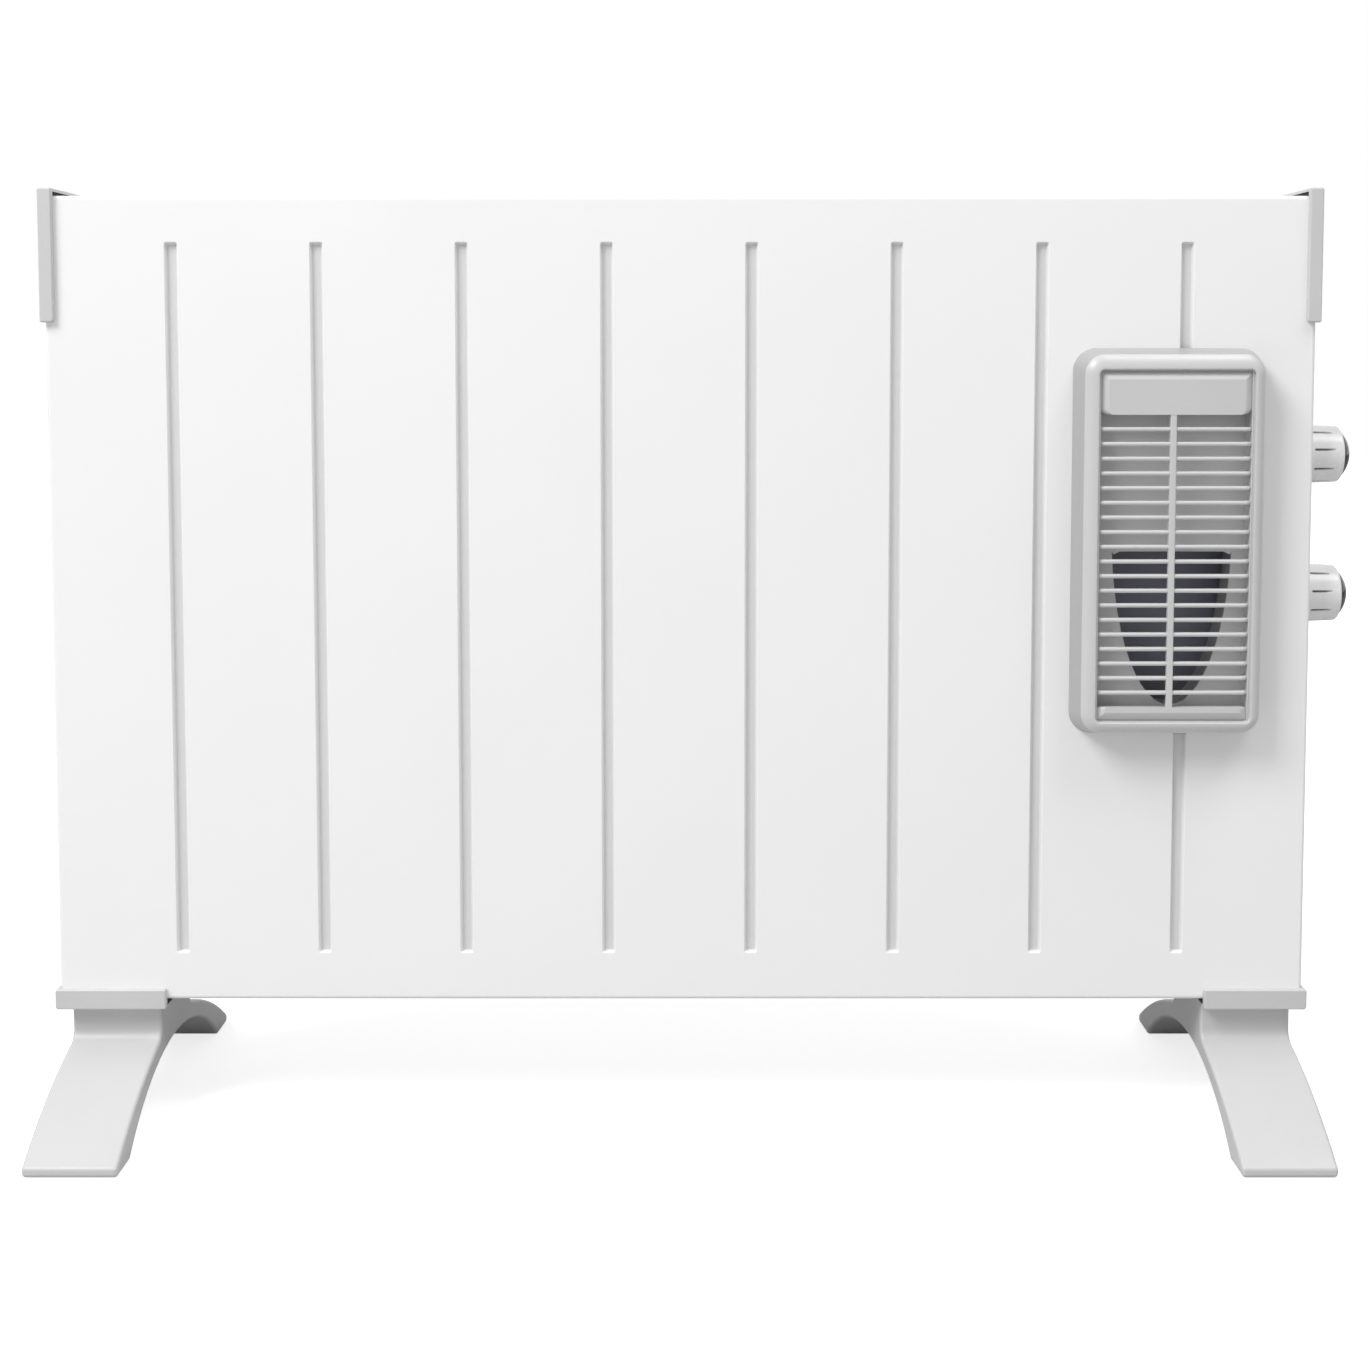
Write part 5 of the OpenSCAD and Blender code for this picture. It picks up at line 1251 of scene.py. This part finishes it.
class HEATER_OT_knobs(bpy.types.Operator):
    """Mould both knobs with their grip notches, and their polished caps"""
    bl_idname = "heater.knobs"
    bl_label = "Knobs"

    def execute(self, context):
        knob = context.scene.heater.knob
        for word, phase in (("thermostat", knob.upper_phase), ("power", knob.lower_phase)):
            knob_piece(word + "_knob_moulding", word + "_knob", knob, phase)
            cap_piece(word + "_cap_dome", word + "_cap", knob)
        return {"FINISHED"}


# Screws

def pan_screw(head, height, shank, reach):
    """Pan-head screw along X, with its seat at zero, its head towards +X and a cross recess."""
    rim = 0.35 * height
    profile = [(-reach, 0.0), (-reach, shank / 2), (-reach + shank, shank), (0.0, shank),
               (0.0, head * 0.96), (0.12 * height, head)]
    for k in range(1, 7):
        angle = math.pi / 2 * k / 7
        profile.append((rim + (height - rim) * math.sin(angle), head * math.cos(angle) ** 0.55))
    profile.append((height, 0.0))
    screw = lathe("screw", profile, Vector(), round_angles(32))
    for wide, tall in ((1.15, 0.24), (0.24, 1.15)):
        outline = [Vector(p) for p in rectangle(head * wide, head * tall)]
        walls = ((rim, grown(outline, -head * 0.07)), (1.3 * height, outline))
        recess = skin("recess", [[Vector((x, p.x, p.y)) for p in ring] for x, ring in walls])
        combine(screw, recess, "DIFFERENCE")
    return screw


def screw_rows(name, node, sizes, axis, tree, rows):
    """Screws of one node along an axis, in rows of (first, column step, columns, row step, rows)."""
    turn = Vector((1, 0, 0)).rotation_difference(Vector(axis)).to_matrix().to_4x4()
    parts = []
    for first, column_step, columns, row_step, row_count in rows:
        one = pan_screw(*sizes)
        one.data.transform(Matrix.Translation(first) @ turn)
        parts.append(grow(one, tree, Columns=columns, Column_Step=column_step, Rows=row_count,
                          Row_Step=row_step, Material=material_of(node)))
    return dress(joined(name, *parts), node)


class HEATER_OT_screws(bpy.types.Operator):
    """Set the screws that show: rear panel, control plate and feet"""
    bl_idname = "heater.screws"
    bl_label = "Screws"

    def execute(self, context):
        heater = context.scene.heater
        screw, sheet = heater.screw, heater.case.sheet
        tree = copies_tree()
        none = (0, 0, 0)
        case_screw = (screw.case_head, screw.case_height, screw.case_shank, screw.case_length)
        head = screw.case_head
        low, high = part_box("rear_screws")
        seat = high.y - screw.case_height
        part_low, part_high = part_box("partition_plate")
        part_x = (part_low.x + part_high.x - sheet) / 2
        case_low, case_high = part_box("front_panel")
        first_z, last_z = case_low.z + screw.inner_low, case_high.z - screw.inner_high
        screw_rows("rear_screws_pan_head", "rear_screws", case_screw, (0, 1, 0), tree, [
            (Vector((low.x + head, seat, low.z + head)), (high.x - low.x - 2 * head, 0, 0), 2,
             (0, 0, (high.z - low.z) / 2 - head), 3),
            (Vector((part_x, seat, first_z)), none, 1, (0, 0, last_z - first_z), 2),
        ])
        low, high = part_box("control_plate_screws")
        screw_rows("control_plate_screws_pan_head", "control_plate_screws", case_screw, (1, 0, 0), tree, [
            (Vector((high.x - screw.case_height, 0, low.z + head)), none, 1,
             (0, 0, high.z - low.z - 2 * head), 2),
        ])
        low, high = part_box("foot_screws")
        head = screw.foot_head
        seat_z = low.z + screw.foot_height
        foot_screw = (head, screw.foot_height, screw.foot_shank, high.z - seat_z)
        screw_rows("foot_screws_pan_head", "foot_screws", foot_screw, (0, 0, -1), tree, [
            (Vector((low.x + head, low.y + head, seat_z)), (high.x - low.x - 2 * head, 0, 0), 2,
             (0, heater.foot.screw_gap, 0), 2),
        ])
        return {"FINISHED"}


# Stage

def area_light(name, power, side, place, target):
    """Square lamp that looks from its place at a target."""
    data = bpy.data.lights.new(name, "AREA")
    data.energy = power
    data.shape = "SQUARE"
    data.size = side
    lamp = bpy.data.objects.new(name, data)
    lamp.location = place
    lamp.rotation_euler = (Vector(target) - Vector(place)).to_track_quat("-Z", "Y").to_euler()
    bpy.context.scene.collection.objects.link(lamp)


def plain_world(ambient):
    """Even light from all round, and white for the camera and for reflections."""
    world = bpy.data.worlds.new("studio")
    bpy.context.scene.world = world
    world.use_nodes = True
    tree = world.node_tree
    tree.nodes.clear()
    path = add(tree, "ShaderNodeLightPath").outputs
    seen = maths(tree, "MAXIMUM", path["Is Camera Ray"], path["Is Glossy Ray"])
    seen = maths(tree, "MAXIMUM", seen, path["Is Transmission Ray"])
    light = add(tree, "ShaderNodeBackground", {"Color": (1, 1, 1, 1), "Strength": ambient}).outputs[0]
    white = add(tree, "ShaderNodeBackground", {"Color": (1, 1, 1, 1), "Strength": 1.0}).outputs[0]
    mix = add(tree, "ShaderNodeMixShader", {0: seen, 1: light, 2: white})
    add(tree, "ShaderNodeOutputWorld", {"Surface": mix.outputs[0]})


def pale_floor(stage):
    """Floor that keeps the object's shadow, lifted for the camera until it is white further off."""
    below = -0.2 * MM
    bm = bmesh.new()
    bm.faces.new([bm.verts.new((x, y, below)) for x, y in rectangle(stage.floor, stage.floor)])
    floor = new_piece("floor", bm)
    material = bpy.data.materials.new("white_floor")
    material.use_nodes = True
    tree = material.node_tree
    tree.nodes.clear()
    matt = add(tree, "ShaderNodeBsdfDiffuse", {"Color": (*3 * [stage.floor_grey], 1)}).outputs[0]
    place = add(tree, "ShaderNodeTexCoord").outputs["Object"]
    away = add(tree, "ShaderNodeVectorMath", {0: place}, operation="LENGTH").outputs["Value"]
    lift = add(tree, "ShaderNodeMapRange", {"Value": away, "From Min": stage.near, "From Max": stage.far,
                                            "To Min": stage.floor_light, "To Max": 1.0}).outputs[0]
    seen = add(tree, "ShaderNodeLightPath").outputs["Is Camera Ray"]
    glow = add(tree, "ShaderNodeEmission", {"Strength": maths(tree, "MULTIPLY", seen, lift)}).outputs[0]
    total = add(tree, "ShaderNodeAddShader", {0: matt, 1: glow})
    add(tree, "ShaderNodeOutputMaterial", {"Surface": total.outputs[0]})
    floor.data.materials.append(material)


class HEATER_OT_stage(bpy.types.Operator):
    """Set up the camera, the lights and the floor"""
    bl_idname = "heater.stage"
    bl_label = "Stage"

    def execute(self, context):
        stage = context.scene.heater.stage
        data = bpy.data.cameras.new("camera")
        data.lens = stage.lens
        data.sensor_width = 36
        data.sensor_fit = "HORIZONTAL"
        data.shift_x = -(stage.centre_x - IMAGE / 2) / IMAGE
        data.shift_y = (stage.centre_y - IMAGE / 2) / IMAGE
        data.clip_start = 0.01
        camera = bpy.data.objects.new("camera", data)
        camera.location = stage.eye
        camera.rotation_euler = (math.pi / 2 - stage.tilt, 0, 0)
        context.scene.collection.objects.link(camera)
        context.scene.camera = camera
        context.scene.view_settings.view_transform = "Standard"
        plain_world(stage.ambient)
        area_light("key_light", stage.key, stage.lamp, stage.key_place, stage.key_target)
        area_light("fill_light", stage.fill, stage.lamp, stage.fill_place, stage.fill_target)
        pale_floor(stage)
        return {"FINISHED"}


class HEATER_PT_pieces(bpy.types.Panel):
    """Pieces of the heater, in the order in which they are made"""
    bl_idname = "HEATER_PT_pieces"
    bl_label = "Heater"
    bl_space_type = "VIEW_3D"
    bl_region_type = "UI"
    bl_category = "Heater"

    def draw(self, context):
        for operator in OPERATORS:
            self.layout.operator(operator.bl_idname)


OPERATORS = (HEATER_OT_stage, HEATER_OT_finishes, HEATER_OT_inner_parts, HEATER_OT_front_panel,
             HEATER_OT_case_sheets, HEATER_OT_clips, HEATER_OT_feet, HEATER_OT_fan_frame,
             HEATER_OT_fan_grille, HEATER_OT_blower, HEATER_OT_knobs, HEATER_OT_screws)
GROUPS = (CaseSizes, ClipSizes, FootSizes, FanSizes, KnobSizes, ScrewSizes, Colours, StageSettings,
          HeaterSettings)


def register():
    for item in GROUPS + OPERATORS + (HEATER_PT_pieces,):
        bpy.utils.register_class(item)
    bpy.types.Scene.heater = PointerProperty(type=HeaterSettings)


def unregister():
    del bpy.types.Scene.heater
    for item in reversed(GROUPS + OPERATORS + (HEATER_PT_pieces,)):
        bpy.utils.unregister_class(item)


def main():
    register()
    for operator in OPERATORS:
        group, name = operator.bl_idname.split(".")
        getattr(getattr(bpy.ops, group), name)()


if __name__ == "__main__":
    main()
